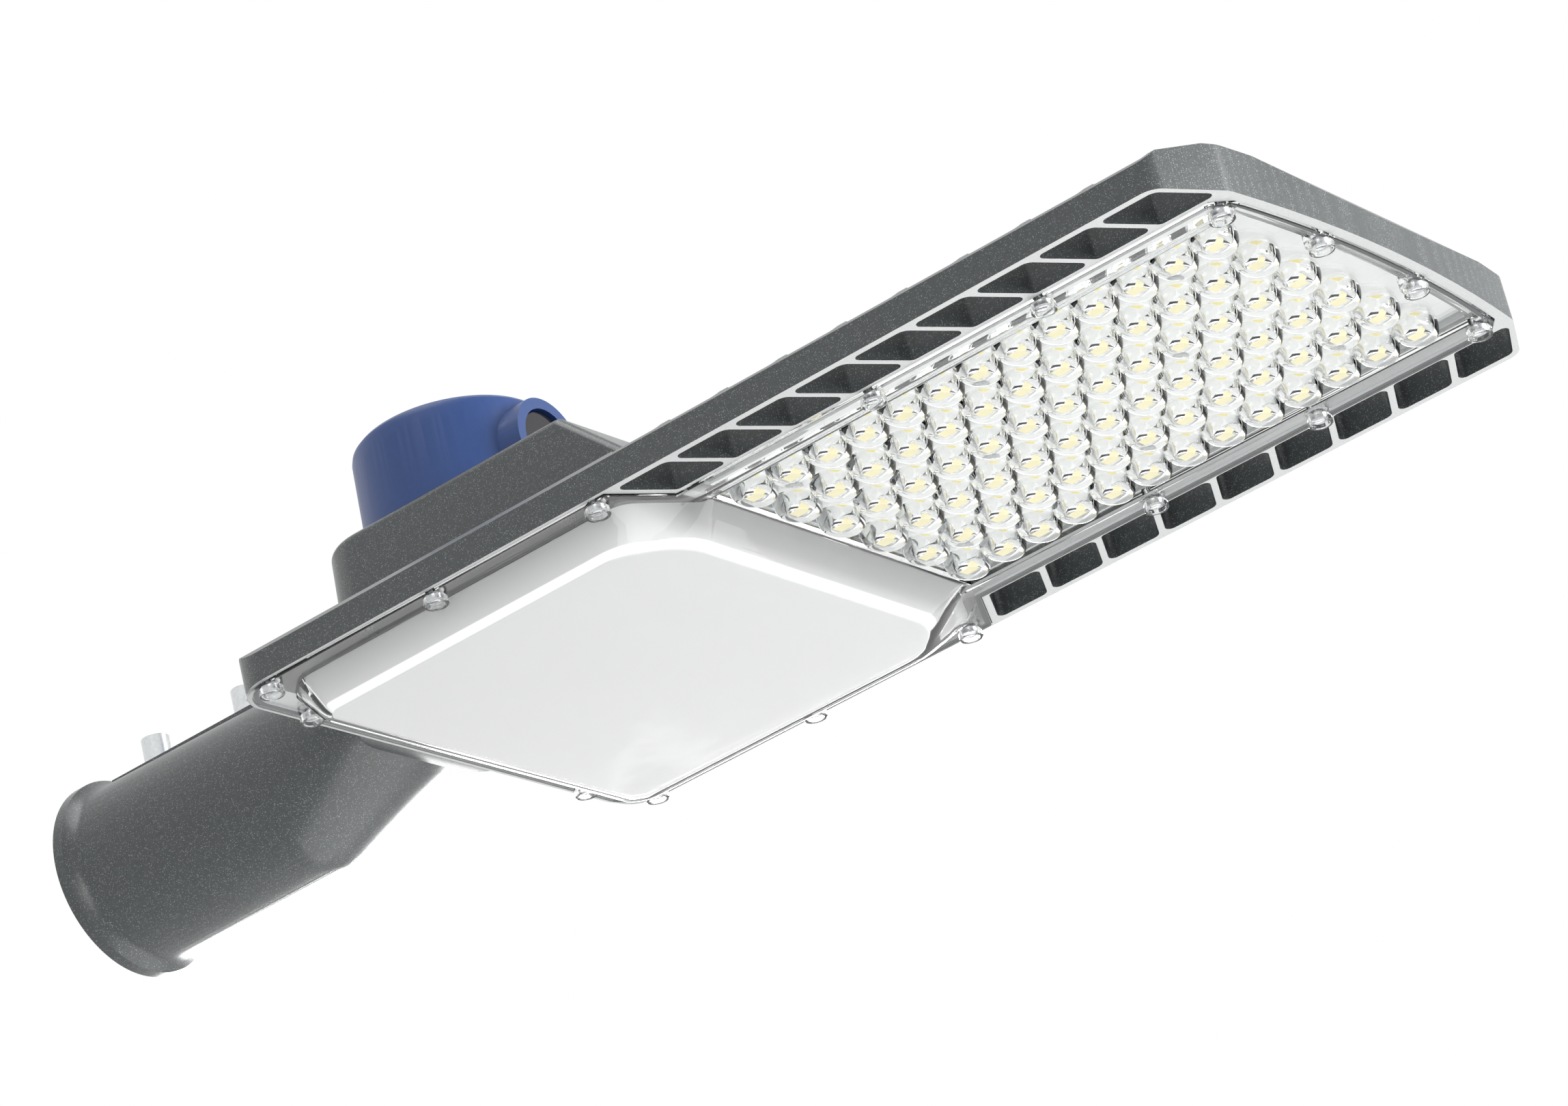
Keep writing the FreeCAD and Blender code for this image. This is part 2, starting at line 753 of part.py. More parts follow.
def socket_bolts():
    """Hollow-hex bolts from inside the hump into the socket."""
    seat_x = hump_rear_x + hump_wall + socket_bolt_seat
    bolts = []
    for y, z in socket_bolt_places():
        shank_start = V(socket_joint_x - socket_bolt_depth, y, z)
        shank = rod(socket_bolt_radius, shank_start, seat_x - shank_start.x, X_AXIS)
        head = rod(socket_bolt_head_radius, V(seat_x, y, z), socket_bolt_head_height, X_AXIS)
        bolts.append(shank.fuse(head).removeSplitter())
    return Part.makeCompound(bolts)


def wire_grommet():
    """The rubber grommet where the supply wires enter the hump."""
    seat_x = hump_rear_x + hump_wall + socket_bolt_seat
    body_radius = wire_way_radius - hole_clearance
    start = V(socket_joint_x + 2.0, 0, wire_way_z)
    body = rod(body_radius, start, seat_x - start.x, X_AXIS)
    flange_start = V(seat_x, 0, wire_way_z)
    flange = rod(wire_way_radius + grommet_flange, flange_start, grommet_flange / 2.0, X_AXIS)
    hole = rod(grommet_bore, V(socket_joint_x, 0, wire_way_z), seat_x, X_AXIS)
    return join([body, flange]).cut(hole)


def lens():
    """One oval lens with a groove across its top, which makes its two lobes."""
    levels = []
    for share, depth in lens_levels:
        z = panel_low_z - depth * lens_height
        if depth == 0.0:
            z += field_thickness / 2.0
        loop = []
        for step in range(lens_sides):
            angle = 2.0 * math.pi * (step + 0.5) / lens_sides
            x = share * lens_width / 2.0 * math.cos(angle)
            y = share * lens_length / 2.0 * math.sin(angle)
            loop.append(V(x, y, z))
        levels.append(loop + loop[:1])
    faces = [Part.Face(Part.makePolygon(levels[0])), Part.Face(Part.makePolygon(levels[-1]))]
    for upper, lower in zip(levels, levels[1:]):
        for step in range(lens_sides):
            corners = [upper[step], upper[step + 1], lower[step + 1], lower[step], upper[step]]
            faces.append(Part.Face(Part.makePolygon(corners)))
    form = Part.Solid(Part.Shell(faces))
    low = panel_low_z - lens_height
    groove = [(0.0, low + lens_groove_depth), (lens_groove_width, low - lens_groove_depth),
              (-lens_groove_width, low - lens_groove_depth)]
    return form.cut(cross_prism(groove, -lens_width, lens_width))


def field_prism(margin, rear_x, side_y, ear_radius, z0, z1):
    """A prism over the lens field, bowed at the tip and stopped short of the screw ears."""
    block = cover_prism(ledge_width + seat_gap + margin, z0, z1)
    block = block.common(box(rear_x, body_tip_x, -side_y, side_y, z0, z1))
    ears = [rod(ear_radius, V(x, y, z0), z1 - z0, Z_AXIS) for x, y in cover_screw_places()]
    return block.cut(Part.makeCompound(ears))


def clear_cover():
    """The clear moulding: flange, driver dome, recessed lens field and screw cups."""
    flange = cover_prism(0.0, flange_low_z, flange_top_z)
    dome = dome_form(0.0, flange_low_z + dome_overlap)
    rear_x = dome_base_front_x
    side_y = board_half_width
    tub = field_prism(0.0, rear_x - field_rear_wall, side_y + field_wall,
                      screw_boss_radius + seat_gap, flange_top_z - 0.5, panel_top_z)
    pocket = field_prism(field_wall, rear_x, side_y, screw_ear_radius, flange_low_z - 1.0, panel_low_z)
    body = join([flange, dome, tub]).cut(pocket)
    cups = []
    for x, y in cover_screw_places():
        start = V(x, y, flange_low_z - cup_height)
        cups.append(rod(cup_radius, start, cup_height + cover_thickness / 2.0, Z_AXIS))
    one_lens = lens()
    lenses = []
    for x, y in led_places():
        lenses.append(one_lens.translated(V(x, y, 0)))
    cover = join([body] + cups + lenses)
    cuts = [dome_form(dome_wall, flange_top_z + dome_overlap)]
    for x, y in cover_screw_places():
        seat_z = flange_low_z
        start = V(x, y, flange_low_z - cup_height - 10.0)
        cuts.append(rod(cup_bore, start, cup_height + 10.0, Z_AXIS))
        cuts.append(rod(cover_screw_radius + hole_clearance, V(x, y, seat_z - 1.0), 8.0, Z_AXIS))
    return cover.cut(Part.makeCompound(cuts))


def cover_gasket():
    """The rubber gasket pressed between the cover and its seat."""
    outer = cover_prism(gasket_inset, flange_top_z, ledge_z)
    inner = cover_prism(gasket_inset + gasket_width, flange_top_z - 1.0, ledge_z + 1.0)
    return outer.cut(inner)


def cover_screws():
    """Pan-head screws in the cover's cups."""
    screws = []
    for x, y in cover_screw_places():
        head_z = flange_low_z - cover_screw_head_height
        head = rod(cover_screw_head_radius, V(x, y, head_z), cover_screw_head_height, Z_AXIS)
        shank = rod(cover_screw_radius, V(x, y, flange_low_z), cover_screw_length - 1.5, Z_AXIS)
        screws.append(join([head, shank]))
    return Part.makeCompound(screws)


def board_plan(z0, z1):
    """The light board's outline with the tongue that carries its plug."""
    field = box(board_rear_x, board_front_x, -board_half_width, board_half_width, z0, z1)
    tongue = box(
        board_rear_x - board_tongue_length, board_rear_x + 1.0,
        -board_tongue_half_width, board_tongue_half_width, z0, z1,
    )
    return field, tongue


def screw_holes(places, radius, z0, z1):
    """Clearance holes for a set of screws."""
    return Part.makeCompound([rod(radius, V(x, y, z0), z1 - z0, Z_AXIS) for x, y in places])


def led_board():
    """The white metal-core light board."""
    field, tongue = board_plan(board_low_z, pad_low_z)
    radius = board_screw_radius + hole_clearance
    return join([field, tongue]).cut(screw_holes(board_screw_places(), radius, -30.0, 10.0))


def thermal_pad():
    """The heat-conducting sheet between the board and the housing."""
    field, tongue = board_plan(pad_low_z, led_roof_z)
    radius = board_screw_radius + hole_clearance
    return field.cut(screw_holes(board_screw_places(), radius, -30.0, 10.0))


def led_chips():
    """One chip package under each lens."""
    half = chip_side / 2.0
    chips = []
    for x, y in led_places():
        chip = box(x - half, x + half, y - half, y + half, board_low_z - chip_height, board_low_z)
        chips.append(chip)
    return Part.makeCompound(chips)


def board_screws():
    """Low-head screws that press the light board to the housing."""
    screws = []
    for x, y in board_screw_places():
        head_z = board_low_z - board_screw_head_height
        head = rod(board_screw_head_radius, V(x, y, head_z), board_screw_head_height, Z_AXIS)
        shank = rod(board_screw_radius, V(x, y, board_low_z), board_screw_length, Z_AXIS)
        screws.append(join([head, shank]))
    return Part.makeCompound(screws)


def board_plug():
    """The plug on the board's tongue that takes the driver's two leads."""
    x0 = board_rear_x - board_tongue_length + 1.0
    half = plug_width / 2.0
    shell = box(x0, x0 + plug_length, -half, half, board_low_z - plug_height, board_low_z)
    cuts = []
    for side in (-1, 1):
        y = side * plug_width / 4.0
        cuts.append(box(x0 - 1.0, x0 + plug_length / 2.0, y - 2.0, y + 2.0,
                        board_low_z - plug_height + 1.0, board_low_z - 1.0))
    return shell.cut(Part.makeCompound(cuts))


def driver_shroud():
    """The pale moulded tray behind the driver dome, hung on four lugs."""
    inset = dome_wall + seat_gap
    outside = dome_form(inset, flange_top_z + dome_overlap)
    inside = dome_form(inset + shroud_thickness, flange_top_z + dome_overlap)
    step_z = flange_top_z + seat_gap
    walls_outer = dome_walls(seat_gap, step_z, roof_z - seat_gap)
    walls_inner = dome_walls(seat_gap + shroud_thickness, step_z + shroud_thickness, roof_z + 1.0)
    mouth = dome_section(
        dome_base_rear_x, dome_base_front_x, dome_base_half_width, dome_front_cut,
        inset + shroud_thickness, flange_top_z,
    )
    mouth = Part.Face(mouth).extrude(V(0, 0, seat_gap + 2.0 * shroud_thickness))
    solid = join([outside, walls_outer])
    lugs = []
    for x, y in shroud_screw_places():
        half = shroud_lug / 2.0
        lug = box(x - half, x + half, y - half, y + half,
                  roof_z - seat_gap - shroud_lug_thickness, roof_z - seat_gap)
        hole = rod(small_screw_radius + hole_clearance, V(x, y, roof_z - 12.0), 15.0, Z_AXIS)
        lugs.append(lug.cut(hole))
    notch_half = board_tongue_half_width + 2.0
    notch_x = board_rear_x - board_tongue_length - 5.0
    notch = box(notch_x, board_rear_x + 10.0, -notch_half, notch_half, flange_top_z, roof_z + 1.0)
    tray = solid.cut(inside).cut(walls_inner).cut(mouth).cut(notch)
    return join([tray] + lugs)


def dome_walls(inset, z0, z1):
    """The upright part of the shroud's walls, inside the driver cavity."""
    keep = cover_prism(shroud_margin - cover_lip + inset, z0, z1)
    limit = box(
        driver_cavity_rear_x + inset, driver_cavity_front_x - inset,
        -shroud_half_width + inset, shroud_half_width - inset, z0, z1,
    )
    return limit.common(keep)


def shroud_screws():
    """Screws that hold the shroud's lugs to the roof."""
    return small_screws(shroud_screw_places(), roof_z - seat_gap - shroud_lug_thickness)


def small_screws(places, seat_z):
    """Pan-head screws driven up into the housing from a seat height."""
    screws = []
    for x, y in places:
        head = rod(small_head_radius, V(x, y, seat_z - small_head_height), small_head_height, Z_AXIS)
        shank = rod(small_screw_radius, V(x, y, seat_z), roof_z + 3.5 - seat_z, Z_AXIS)
        screws.append(join([head, shank]))
    return Part.makeCompound(screws)


def driver_plate():
    """The zinc-plated plate under the hump that carries the driver."""
    half = driver_plate_half_width
    plate = box(driver_plate_rear_x, driver_plate_rear_x + driver_plate_length,
                -half, half, plate_low_z, roof_z)
    radius = small_screw_radius + hole_clearance
    return plate.cut(screw_holes(driver_plate_screw_places(), radius, plate_low_z - 1.0, roof_z + 1.0))


def led_driver():
    """The driver: a closed metal case with rounded edges and two end feet."""
    half = driver_half_width
    case = box(driver_rear_x, driver_rear_x + driver_length, -half, half, roof_z, roof_z + driver_height)
    case = case.makeFillet(3.0, [e for e in case.Edges if abs(e.Vertexes[0].Y - e.Vertexes[1].Y) < 0.1
                                 and abs(e.Vertexes[0].Z - e.Vertexes[1].Z) < 0.1])
    foot = box(driver_rear_x + driver_length - 1.0, driver_rear_x + driver_length + driver_foot_length,
               -half / 2.0, half / 2.0, roof_z, roof_z + 2.0)
    return join([case, foot])


def terminal_block():
    """The supply terminal block under the plate, with an entry for each wire."""
    x0 = driver_plate_rear_x + terminal_inset
    y0 = terminal_inset - driver_plate_half_width
    size = terminal_size
    block = box(x0, x0 + size.x, y0, y0 + size.y, plate_low_z - size.z, plate_low_z)
    cuts = []
    for way in range(terminal_ways):
        x = x0 + size.x * (way + 0.5) / terminal_ways
        mouth = terminal_mouth / 2.0
        mid_z = plate_low_z - size.z / 2.0
        cuts.append(box(x - mouth, x + mouth, y0 - 1.0, y0 + size.y / 2.0, mid_z - mouth, mid_z + mouth))
    return block.cut(Part.makeCompound(cuts))


def surge_protector():
    """The surge protection block under the plate, its edges rounded."""
    x0 = driver_plate_rear_x + surge_x
    size = surge_size
    block = box(x0, x0 + size.x, surge_y, surge_y + size.y, plate_low_z - size.z, plate_low_z)
    low_edges = [e for e in block.Edges if max(v.Z for v in e.Vertexes) < plate_low_z - size.z + 0.1]
    return block.makeFillet(surge_edge_radius, low_edges)


def earth_screw():
    """The earth screw with its square washer."""
    x, y = earth_place()
    half = earth_washer_half
    seat_z = roof_z - earth_washer_thickness
    washer = box(x - half, x + half, y - half, y + half, seat_z, roof_z)
    head = rod(small_head_radius, V(x, y, seat_z - small_head_height), small_head_height, Z_AXIS)
    shank = rod(small_screw_radius, V(x, y, seat_z), roof_z + 3.5 - seat_z, Z_AXIS)
    return join([washer, head, shank])


def driver_screws():
    """Screws that hold the driver plate to the roof."""
    return small_screws(driver_plate_screw_places(), plate_low_z)


receptacle_low_z = hump_top_z + receptacle_gasket_thickness
receptacle_face_z = receptacle_low_z + receptacle_flange_height
control_base_z = receptacle_face_z + control_gasket_thickness
control_base_top_z = control_base_z + control_base_thickness


def ring(outer, inner, z0, z1):
    """A flat ring about the photocontrol's axis."""
    body = rod(outer, V(control_x, 0, z0), z1 - z0, Z_AXIS)
    return body.cut(rod(inner, V(control_x, 0, z0 - 1.0), z1 - z0 + 2.0, Z_AXIS))


def blade_sector(start_deg, margin, z0, z1):
    """A curved strip about the axis, as a blade or as the slot for one."""
    inner = blade_circle_radius - blade_thickness / 2.0 - margin
    outer = blade_circle_radius + blade_thickness / 2.0 + margin
    turn = blade_arc_deg + 2.0 * math.degrees(margin / blade_circle_radius)
    face = Part.Face(Part.makePolygon([
        V(inner, 0, z0), V(outer, 0, z0), V(outer, 0, z1), V(inner, 0, z1), V(inner, 0, z0),
    ]))
    face.rotate(V(0, 0, 0), Z_AXIS, start_deg - turn / 2.0)
    strip = face.revolve(V(0, 0, 0), Z_AXIS, turn)
    strip.translate(V(control_x, 0, 0))
    return strip


def receptacle():
    """The twist-lock receptacle set into the hump, with three curved slots."""
    start = V(control_x, 0, hump_top_z - receptacle_depth)
    body = rod(receptacle_radius, start, receptacle_low_z - start.z + 0.5, Z_AXIS)
    flange = ring(receptacle_flange_radius, 4.0, receptacle_low_z, receptacle_face_z)
    lug_start = V(control_x, 0, receptacle_low_z)
    middle = rod(8.0, lug_start, receptacle_flange_height, Z_AXIS)
    cuts = []
    for start_deg in (0, 120, 240):
        low = receptacle_face_z - blade_length
        cuts.append(blade_sector(start_deg, 0.5, low, receptacle_face_z + 1.0))
    cuts += receptacle_screw_forms(small_screw_radius + hole_clearance)
    return join([body, flange, middle]).cut(Part.makeCompound(cuts))


def receptacle_screw_forms(radius):
    """The shanks of the two receptacle screws, or the holes for them."""
    forms = []
    for side in (-1, 1):
        start = V(control_x, side * (receptacle_radius - receptacle_screw_inset), hump_top_z - receptacle_depth - 2.0)
        forms.append(rod(radius, start, receptacle_depth + 2.0, Z_AXIS))
    return forms


def receptacle_screws():
    """Two screws that draw the receptacle's clamp bar up inside the hump."""
    screws = []
    for side, shank in zip((-1, 1), receptacle_screw_forms(small_screw_radius)):
        place = V(control_x, side * (receptacle_radius - receptacle_screw_inset), hump_top_z - receptacle_depth - 4.0)
        head = rod(small_head_radius, place, small_head_height, Z_AXIS)
        screws.append(join([shank, head]))
    return Part.makeCompound(screws)


def receptacle_gasket():
    """The rubber ring under the receptacle's flange."""
    return ring(receptacle_flange_radius, receptacle_radius + 0.5, hump_top_z, receptacle_low_z)


def control_gasket():
    """The foam ring between the photocontrol and its receptacle."""
    inner = blade_circle_radius + blade_thickness + 4.0
    return ring(receptacle_flange_radius - 1.0, inner, receptacle_face_z, control_base_z)


def photocontrol_base():
    """The photocontrol's base disc, holding the three blades."""
    radius = cap_base_radius - cap_wall - seat_gap
    body = rod(radius, V(control_x, 0, control_base_z), control_base_thickness, Z_AXIS)
    posts = []
    for turn in (60, 180, 300):
        angle = math.radians(turn)
        x = control_x + control_post_circle * math.cos(angle)
        place = V(x, control_post_circle * math.sin(angle), control_base_top_z)
        posts.append(rod(control_post_radius, place, control_post_height, Z_AXIS))
    slots = [blade_sector(turn, 0.1, control_base_z - 1.0, control_base_top_z + 1.0)
             for turn in (0, 120, 240)]
    return join([body] + posts).cut(Part.makeCompound(slots))


def contact_blades():
    """Three curved brass blades."""
    low = receptacle_face_z - blade_length + 1.0
    return Part.makeCompound([blade_sector(turn, 0.0, low, control_base_top_z)
                              for turn in (0, 120, 240)])


def control_board():
    """The photocontrol's round circuit board with its sensor facing the window."""
    low = control_base_top_z + control_post_height
    disc = rod(control_board_radius, V(control_x, 0, low), control_board_thickness, Z_AXIS)
    top = low + control_board_thickness
    x0 = control_x + sensor_x
    sensor = box(x0, x0 + sensor_depth, -sensor_half_width, sensor_half_width,
                 low, window_z + sensor_half_width)
    x0 = control_x + relay_x
    relay = box(x0, x0 + relay_length, -relay_half_width, relay_half_width, low, top + relay_height)
    return join([disc, sensor, relay])


def photocontrol_cap():
    """The blue cap, drafted and rounded, with the window's round boss."""
    low_z = hump_top_z + seat_gap
    height = cap_top_z - low_z
    profile = [(0.0, low_z), (cap_base_radius, low_z)]
    for turn in (0, 30, 60, 90):
        angle = math.radians(turn)
        radius = cap_top_radius - cap_edge_radius * (1.0 - math.cos(angle))
        profile.append((radius, cap_top_z - cap_edge_radius * (1.0 - math.sin(angle))))
    profile.append((0.0, cap_top_z))
    loop = [V(control_x + radius, 0, z) for radius, z in profile]
    face = Part.Face(Part.makePolygon(loop + loop[:1]))
    outside = face.revolve(V(control_x, 0, 0), Z_AXIS, 360)
    boss_start = V(control_x + 10.0, 0, window_z)
    boss = rod(window_ring_radius, boss_start, window_front_x - boss_start.x, X_AXIS)
    below = box(control_x - 60.0, control_x + 60.0, -60.0, 60.0, low_z - 30.0, low_z)
    body = outside.fuse(boss).cut(below)
    inside = Part.makeCone(
        cap_base_radius - cap_wall, cap_top_radius - cap_wall, height - cap_wall + 1.0,
        V(control_x, 0, low_z - 1.0), Z_AXIS,
    )
    seat_x = window_front_x - window_recess - window_thickness
    counterbore = rod(window_radius + hole_clearance, V(seat_x, 0, window_z), 20.0, X_AXIS)
    light_way = rod(window_radius - 2.0, boss_start, 60.0, X_AXIS)
    return body.cut(Part.makeCompound([inside, counterbore, light_way])).removeSplitter()


def window_disc():
    """The dark window in front of the light sensor."""
    seat_x = window_front_x - window_recess - window_thickness
    disc = rod(window_radius, V(seat_x, 0, window_z), window_thickness, X_AXIS)
    front = [e for e in disc.Edges if len(e.Vertexes) == 1
             and e.Vertexes[0].X > seat_x + window_thickness - 0.1]
    return disc.makeChamfer(window_edge, front)


pieces = {
    "housing": housing,
    "pole_socket": pole_socket,
    "clamp_screws": clamp_screws,
    "socket_bolts": socket_bolts,
    "wire_grommet": wire_grommet,
    "clear_cover": clear_cover,
    "cover_gasket": cover_gasket,
    "cover_screws": cover_screws,
    "led_board": led_board,
    "led_chips": led_chips,
    "thermal_pad": thermal_pad,
    "board_screws": board_screws,
    "board_plug": board_plug,
    "driver_shroud": driver_shroud,
    "shroud_screws": shroud_screws,
    "driver_plate": driver_plate,
    "driver_screws": driver_screws,
    "led_driver": led_driver,
    "terminal_block": terminal_block,
    "surge_protector": surge_protector,
    "earth_screw": earth_screw,
    "receptacle": receptacle,
    "receptacle_gasket": receptacle_gasket,
    "receptacle_screws": receptacle_screws,
    "control_gasket": control_gasket,
    "photocontrol_base": photocontrol_base,
    "contact_blades": contact_blades,
    "control_board": control_board,
    "photocontrol_cap": photocontrol_cap,
    "window_disc": window_disc,
}

os.makedirs("parts", exist_ok=True)
for name, make in pieces.items():
    shape = make()
    print(name, len(shape.Solids), round(shape.Volume), shape.isValid())
    shape.exportStep("parts/" + name + ".step")
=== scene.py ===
import bmesh
import bpy
import math
import numpy as np
from mathutils import Matrix, Vector
from mathutils.geometry import tessellate_polygon


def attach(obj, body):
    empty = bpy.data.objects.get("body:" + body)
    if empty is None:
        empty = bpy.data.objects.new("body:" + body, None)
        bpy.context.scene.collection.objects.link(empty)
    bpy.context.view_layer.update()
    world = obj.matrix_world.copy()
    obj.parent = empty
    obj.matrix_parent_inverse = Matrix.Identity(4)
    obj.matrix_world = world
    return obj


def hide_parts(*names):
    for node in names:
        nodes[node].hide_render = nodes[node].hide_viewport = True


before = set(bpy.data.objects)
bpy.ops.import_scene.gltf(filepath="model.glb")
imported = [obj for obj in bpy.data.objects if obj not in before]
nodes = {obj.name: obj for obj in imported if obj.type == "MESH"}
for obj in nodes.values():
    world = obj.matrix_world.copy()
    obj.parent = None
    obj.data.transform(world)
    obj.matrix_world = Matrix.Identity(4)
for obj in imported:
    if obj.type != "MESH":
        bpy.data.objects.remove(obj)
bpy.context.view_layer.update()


# Pole socket: the round end that slips over a 60 mm pole, a die casting in aluminium with a stiff rim,
# a flat pad for its clamp screws and a ramp up to the hump. Powder coated after casting.
mm = 0.001


def linear(hex_colour):
    """An sRGB hex colour as linear light: each channel through the sRGB curve, alpha 1."""
    parts = np.array([int(hex_colour[i:i + 2], 16) for i in (1, 3, 5)]) / 255.0
    light = np.where(parts <= 0.04045, parts / 12.92, ((parts + 0.055) / 1.055) ** 2.4)
    return (*light.tolist(), 1.0)


def add(tree, kind, inputs, **settings):
    """Adds a node to a tree. An input that is a socket is linked, any other is set."""
    node = tree.nodes.new(kind)
    for name, value in settings.items():
        setattr(node, name, value)
    for name, value in inputs.items():
        if isinstance(value, bpy.types.NodeSocket):
            tree.links.new(value, node.inputs[name])
        else:
            node.inputs[name].default_value = value
    return node


def start_material(name):
    """An empty material, its node tree, and its object coordinates."""
    material = bpy.data.materials.new(name)
    material.use_nodes = True
    material.node_tree.nodes.clear()
    place = add(material.node_tree, "ShaderNodeTexCoord", {})
    return material, material.node_tree, place.outputs["Object"]


def end_material(tree, surface):
    """Joins the last shader to the material's output."""
    add(tree, "ShaderNodeOutputMaterial", {"Surface": surface.outputs[0]})


sharp_edge = math.radians(28.0)


def eased_copy(name, width, finish, segments=2):
    """The CAD solid's own mesh, merged, its sharp edges rounded by a Bevel modifier."""
    mesh = bpy.data.meshes.new(name + "_eased")
    form = bmesh.new()
    form.from_mesh(nodes[name].data)
    bmesh.ops.remove_doubles(form, verts=form.verts, dist=0.003 * mm)
    bmesh.ops.dissolve_limit(form, angle_limit=math.radians(0.6), verts=form.verts, edges=form.edges)
    form.to_mesh(mesh)
    form.free()
    mesh.materials.clear()
    mesh.materials.append(finish)
    mesh.shade_smooth()
    mesh.set_sharp_from_angle(angle=sharp_edge)
    piece = bpy.data.objects.new(name + "_eased", mesh)
    bpy.context.collection.objects.link(piece)
    bevel = piece.modifiers.new("eased_edges", "BEVEL")
    bevel.width = width * mm
    bevel.segments = segments
    bevel.limit_method = "ANGLE"
    bevel.angle_limit = sharp_edge
    bevel.harden_normals = True
    bevel.use_clamp_overlap = True
    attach(piece, "root")
    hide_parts(name)
    return piece


# Powder coat: dark grey polyester with metal flakes, sprayed and baked. It is rough like orange peel and
# glitters with pale specks. Real flakes are 0.1 mm; here they are about 0.5 mm, so that they show.
coat_grey, tree, place = start_material("powder_coat_dark_grey")
flakes = add(tree, "ShaderNodeTexVoronoi", {"Vector": place, "Scale": 1.0 / (0.5 * mm)})
flake_value = add(tree, "ShaderNodeSeparateColor", {"Color": flakes.outputs["Color"]})
flake_chosen = add(tree, "ShaderNodeMapRange", {
    "Value": flake_value.outputs["Red"], "From Min": 0.52, "From Max": 0.95})
flake_near = add(tree, "ShaderNodeMapRange", {
    "Value": flakes.outputs["Distance"], "From Min": 0.42, "From Max": 0.22})
flake = add(tree, "ShaderNodeMath", {0: flake_chosen.outputs[0], 1: flake_near.outputs[0]},
            operation="MULTIPLY")
cloud = add(tree, "ShaderNodeTexNoise", {"Vector": place, "Scale": 1.0 / (2.2 * mm), "Detail": 3.0})
coat_base = add(tree, "ShaderNodeMix", {
    "Factor": cloud.outputs["Fac"], "A": linear("#363A3B"), "B": linear("#494D4E")}, data_type="RGBA")
coat_colour = add(tree, "ShaderNodeMix", {
    "Factor": flake.outputs[0], "A": coat_base.outputs["Result"], "B": linear("#9DA1A1")}, data_type="RGBA")
peel = add(tree, "ShaderNodeTexNoise", {"Vector": place, "Scale": 1.0 / (1.1 * mm), "Detail": 2.0})
peel_bump = add(tree, "ShaderNodeBump", {
    "Height": peel.outputs["Fac"], "Strength": 0.35, "Distance": 0.12 * mm})
coat_shader = add(tree, "ShaderNodeBsdfPrincipled", {
    "Base Color": coat_colour.outputs["Result"], "Roughness": 0.3, "IOR": 1.55,
    "Normal": peel_bump.outputs["Normal"]})
end_material(tree, coat_shader)

eased_copy("pole_socket", 0.8, coat_grey)


# Housing: the die-cast body with its driver hump, cooling slots and fins, in the same powder coat.
# Its edges are eased by the casting die's own small radii.
housing = eased_copy("housing", 0.5, coat_grey)

# The bays behind the clear cover are left bare: blasted cast aluminium, which the light board seats on. The
# rim's and the ribs' flat faces that look straight down get the same light bare metal, as a painted
# highlight.
bare_metal_and_highlight, tree, place = start_material("bare_aluminium_and_painted_highlight")
blast = add(tree, "ShaderNodeTexNoise", {"Vector": place, "Scale": 1.0 / (0.9 * mm), "Detail": 3.0})
bare_shade = add(tree, "ShaderNodeMix", {
    "Factor": blast.outputs["Fac"], "A": linear("#B9BABA"), "B": linear("#D0D1D1")}, data_type="RGBA")
blast_bump = add(tree, "ShaderNodeBump", {
    "Height": blast.outputs["Fac"], "Strength": 0.3, "Distance": 0.05 * mm})
end_material(tree, add(tree, "ShaderNodeBsdfPrincipled", {
    "Base Color": bare_shade.outputs["Result"], "Metallic": 1.0, "Roughness": 0.55,
    "Normal": blast_bump.outputs["Normal"]}))
housing.data.materials.append(bare_metal_and_highlight)
centres = np.empty(3 * len(housing.data.polygons))
housing.data.polygons.foreach_get("center", centres)
face_x, face_y, face_z = centres[0::3] / mm, np.abs(centres[1::3]) / mm, centres[2::3] / mm
normals = np.empty(3 * len(housing.data.polygons))
housing.data.polygons.foreach_get("normal", normals)
normal_x, normal_z = normals[0::3], normals[2::3]

# The bays reach from the cover's seat up to their roof. The housing's own outer faces at the rear and at the
# tip lie between the same heights, and look away from the middle, so there the limit is farther in.
seat_z, bay_roof_z = -15.1, -3.55
driver_bay_end_x, driver_bay_half, light_bay_half = 358.0, 123.4, 97.0
rear_limit = np.where(normal_x < -0.2, 200.0, 172.0)
tip_limit = np.where(normal_x > 0.2, 612.0, 625.0)
side_limit = np.where(face_x < driver_bay_end_x, driver_bay_half, light_bay_half)
in_bay = ((face_z > seat_z) & (face_z < bay_roof_z) & (face_x > rear_limit) & (face_x < tip_limit)
          & (face_y < side_limit))
downward_faces_below_z = -16.4
# Painted highlight: faces looking straight down, below this height, take the light bare metal.
downward_faces_painted_highlight = (normal_z < -0.98) & (face_z < downward_faces_below_z)
housing.data.polygons.foreach_set("material_index", (in_bay | downward_faces_painted_highlight).astype(int))


# Fasteners: clamp screws in zinc-plated steel, all other screws in stainless steel. Both are turned or
# rolled, with a satin grain and a slight difference in shade from the plating bath.
def satin_metal(name, dark, light, roughness, grain):
    """A metal whose shade and roughness vary with a fine noise of the given grain."""
    material, tree, place = start_material(name)
    noise = add(tree, "ShaderNodeTexNoise", {"Vector": place, "Scale": 1.0 / (grain * mm), "Detail": 3.0})
    shade = add(tree, "ShaderNodeMix", {
        "Factor": noise.outputs["Fac"], "A": linear(dark), "B": linear(light)}, data_type="RGBA")
    rough = add(tree, "ShaderNodeMapRange", {
        "Value": noise.outputs["Fac"], "To Min": roughness - 0.06, "To Max": roughness + 0.06})
    bump = add(tree, "ShaderNodeBump", {
        "Height": noise.outputs["Fac"], "Strength": 0.15, "Distance": 0.03 * mm})
    shader = add(tree, "ShaderNodeBsdfPrincipled", {
        "Base Color": shade.outputs["Result"], "Metallic": 1.0, "Roughness": rough.outputs[0],
        "Normal": bump.outputs["Normal"]})
    end_material(tree, shader)
    return material


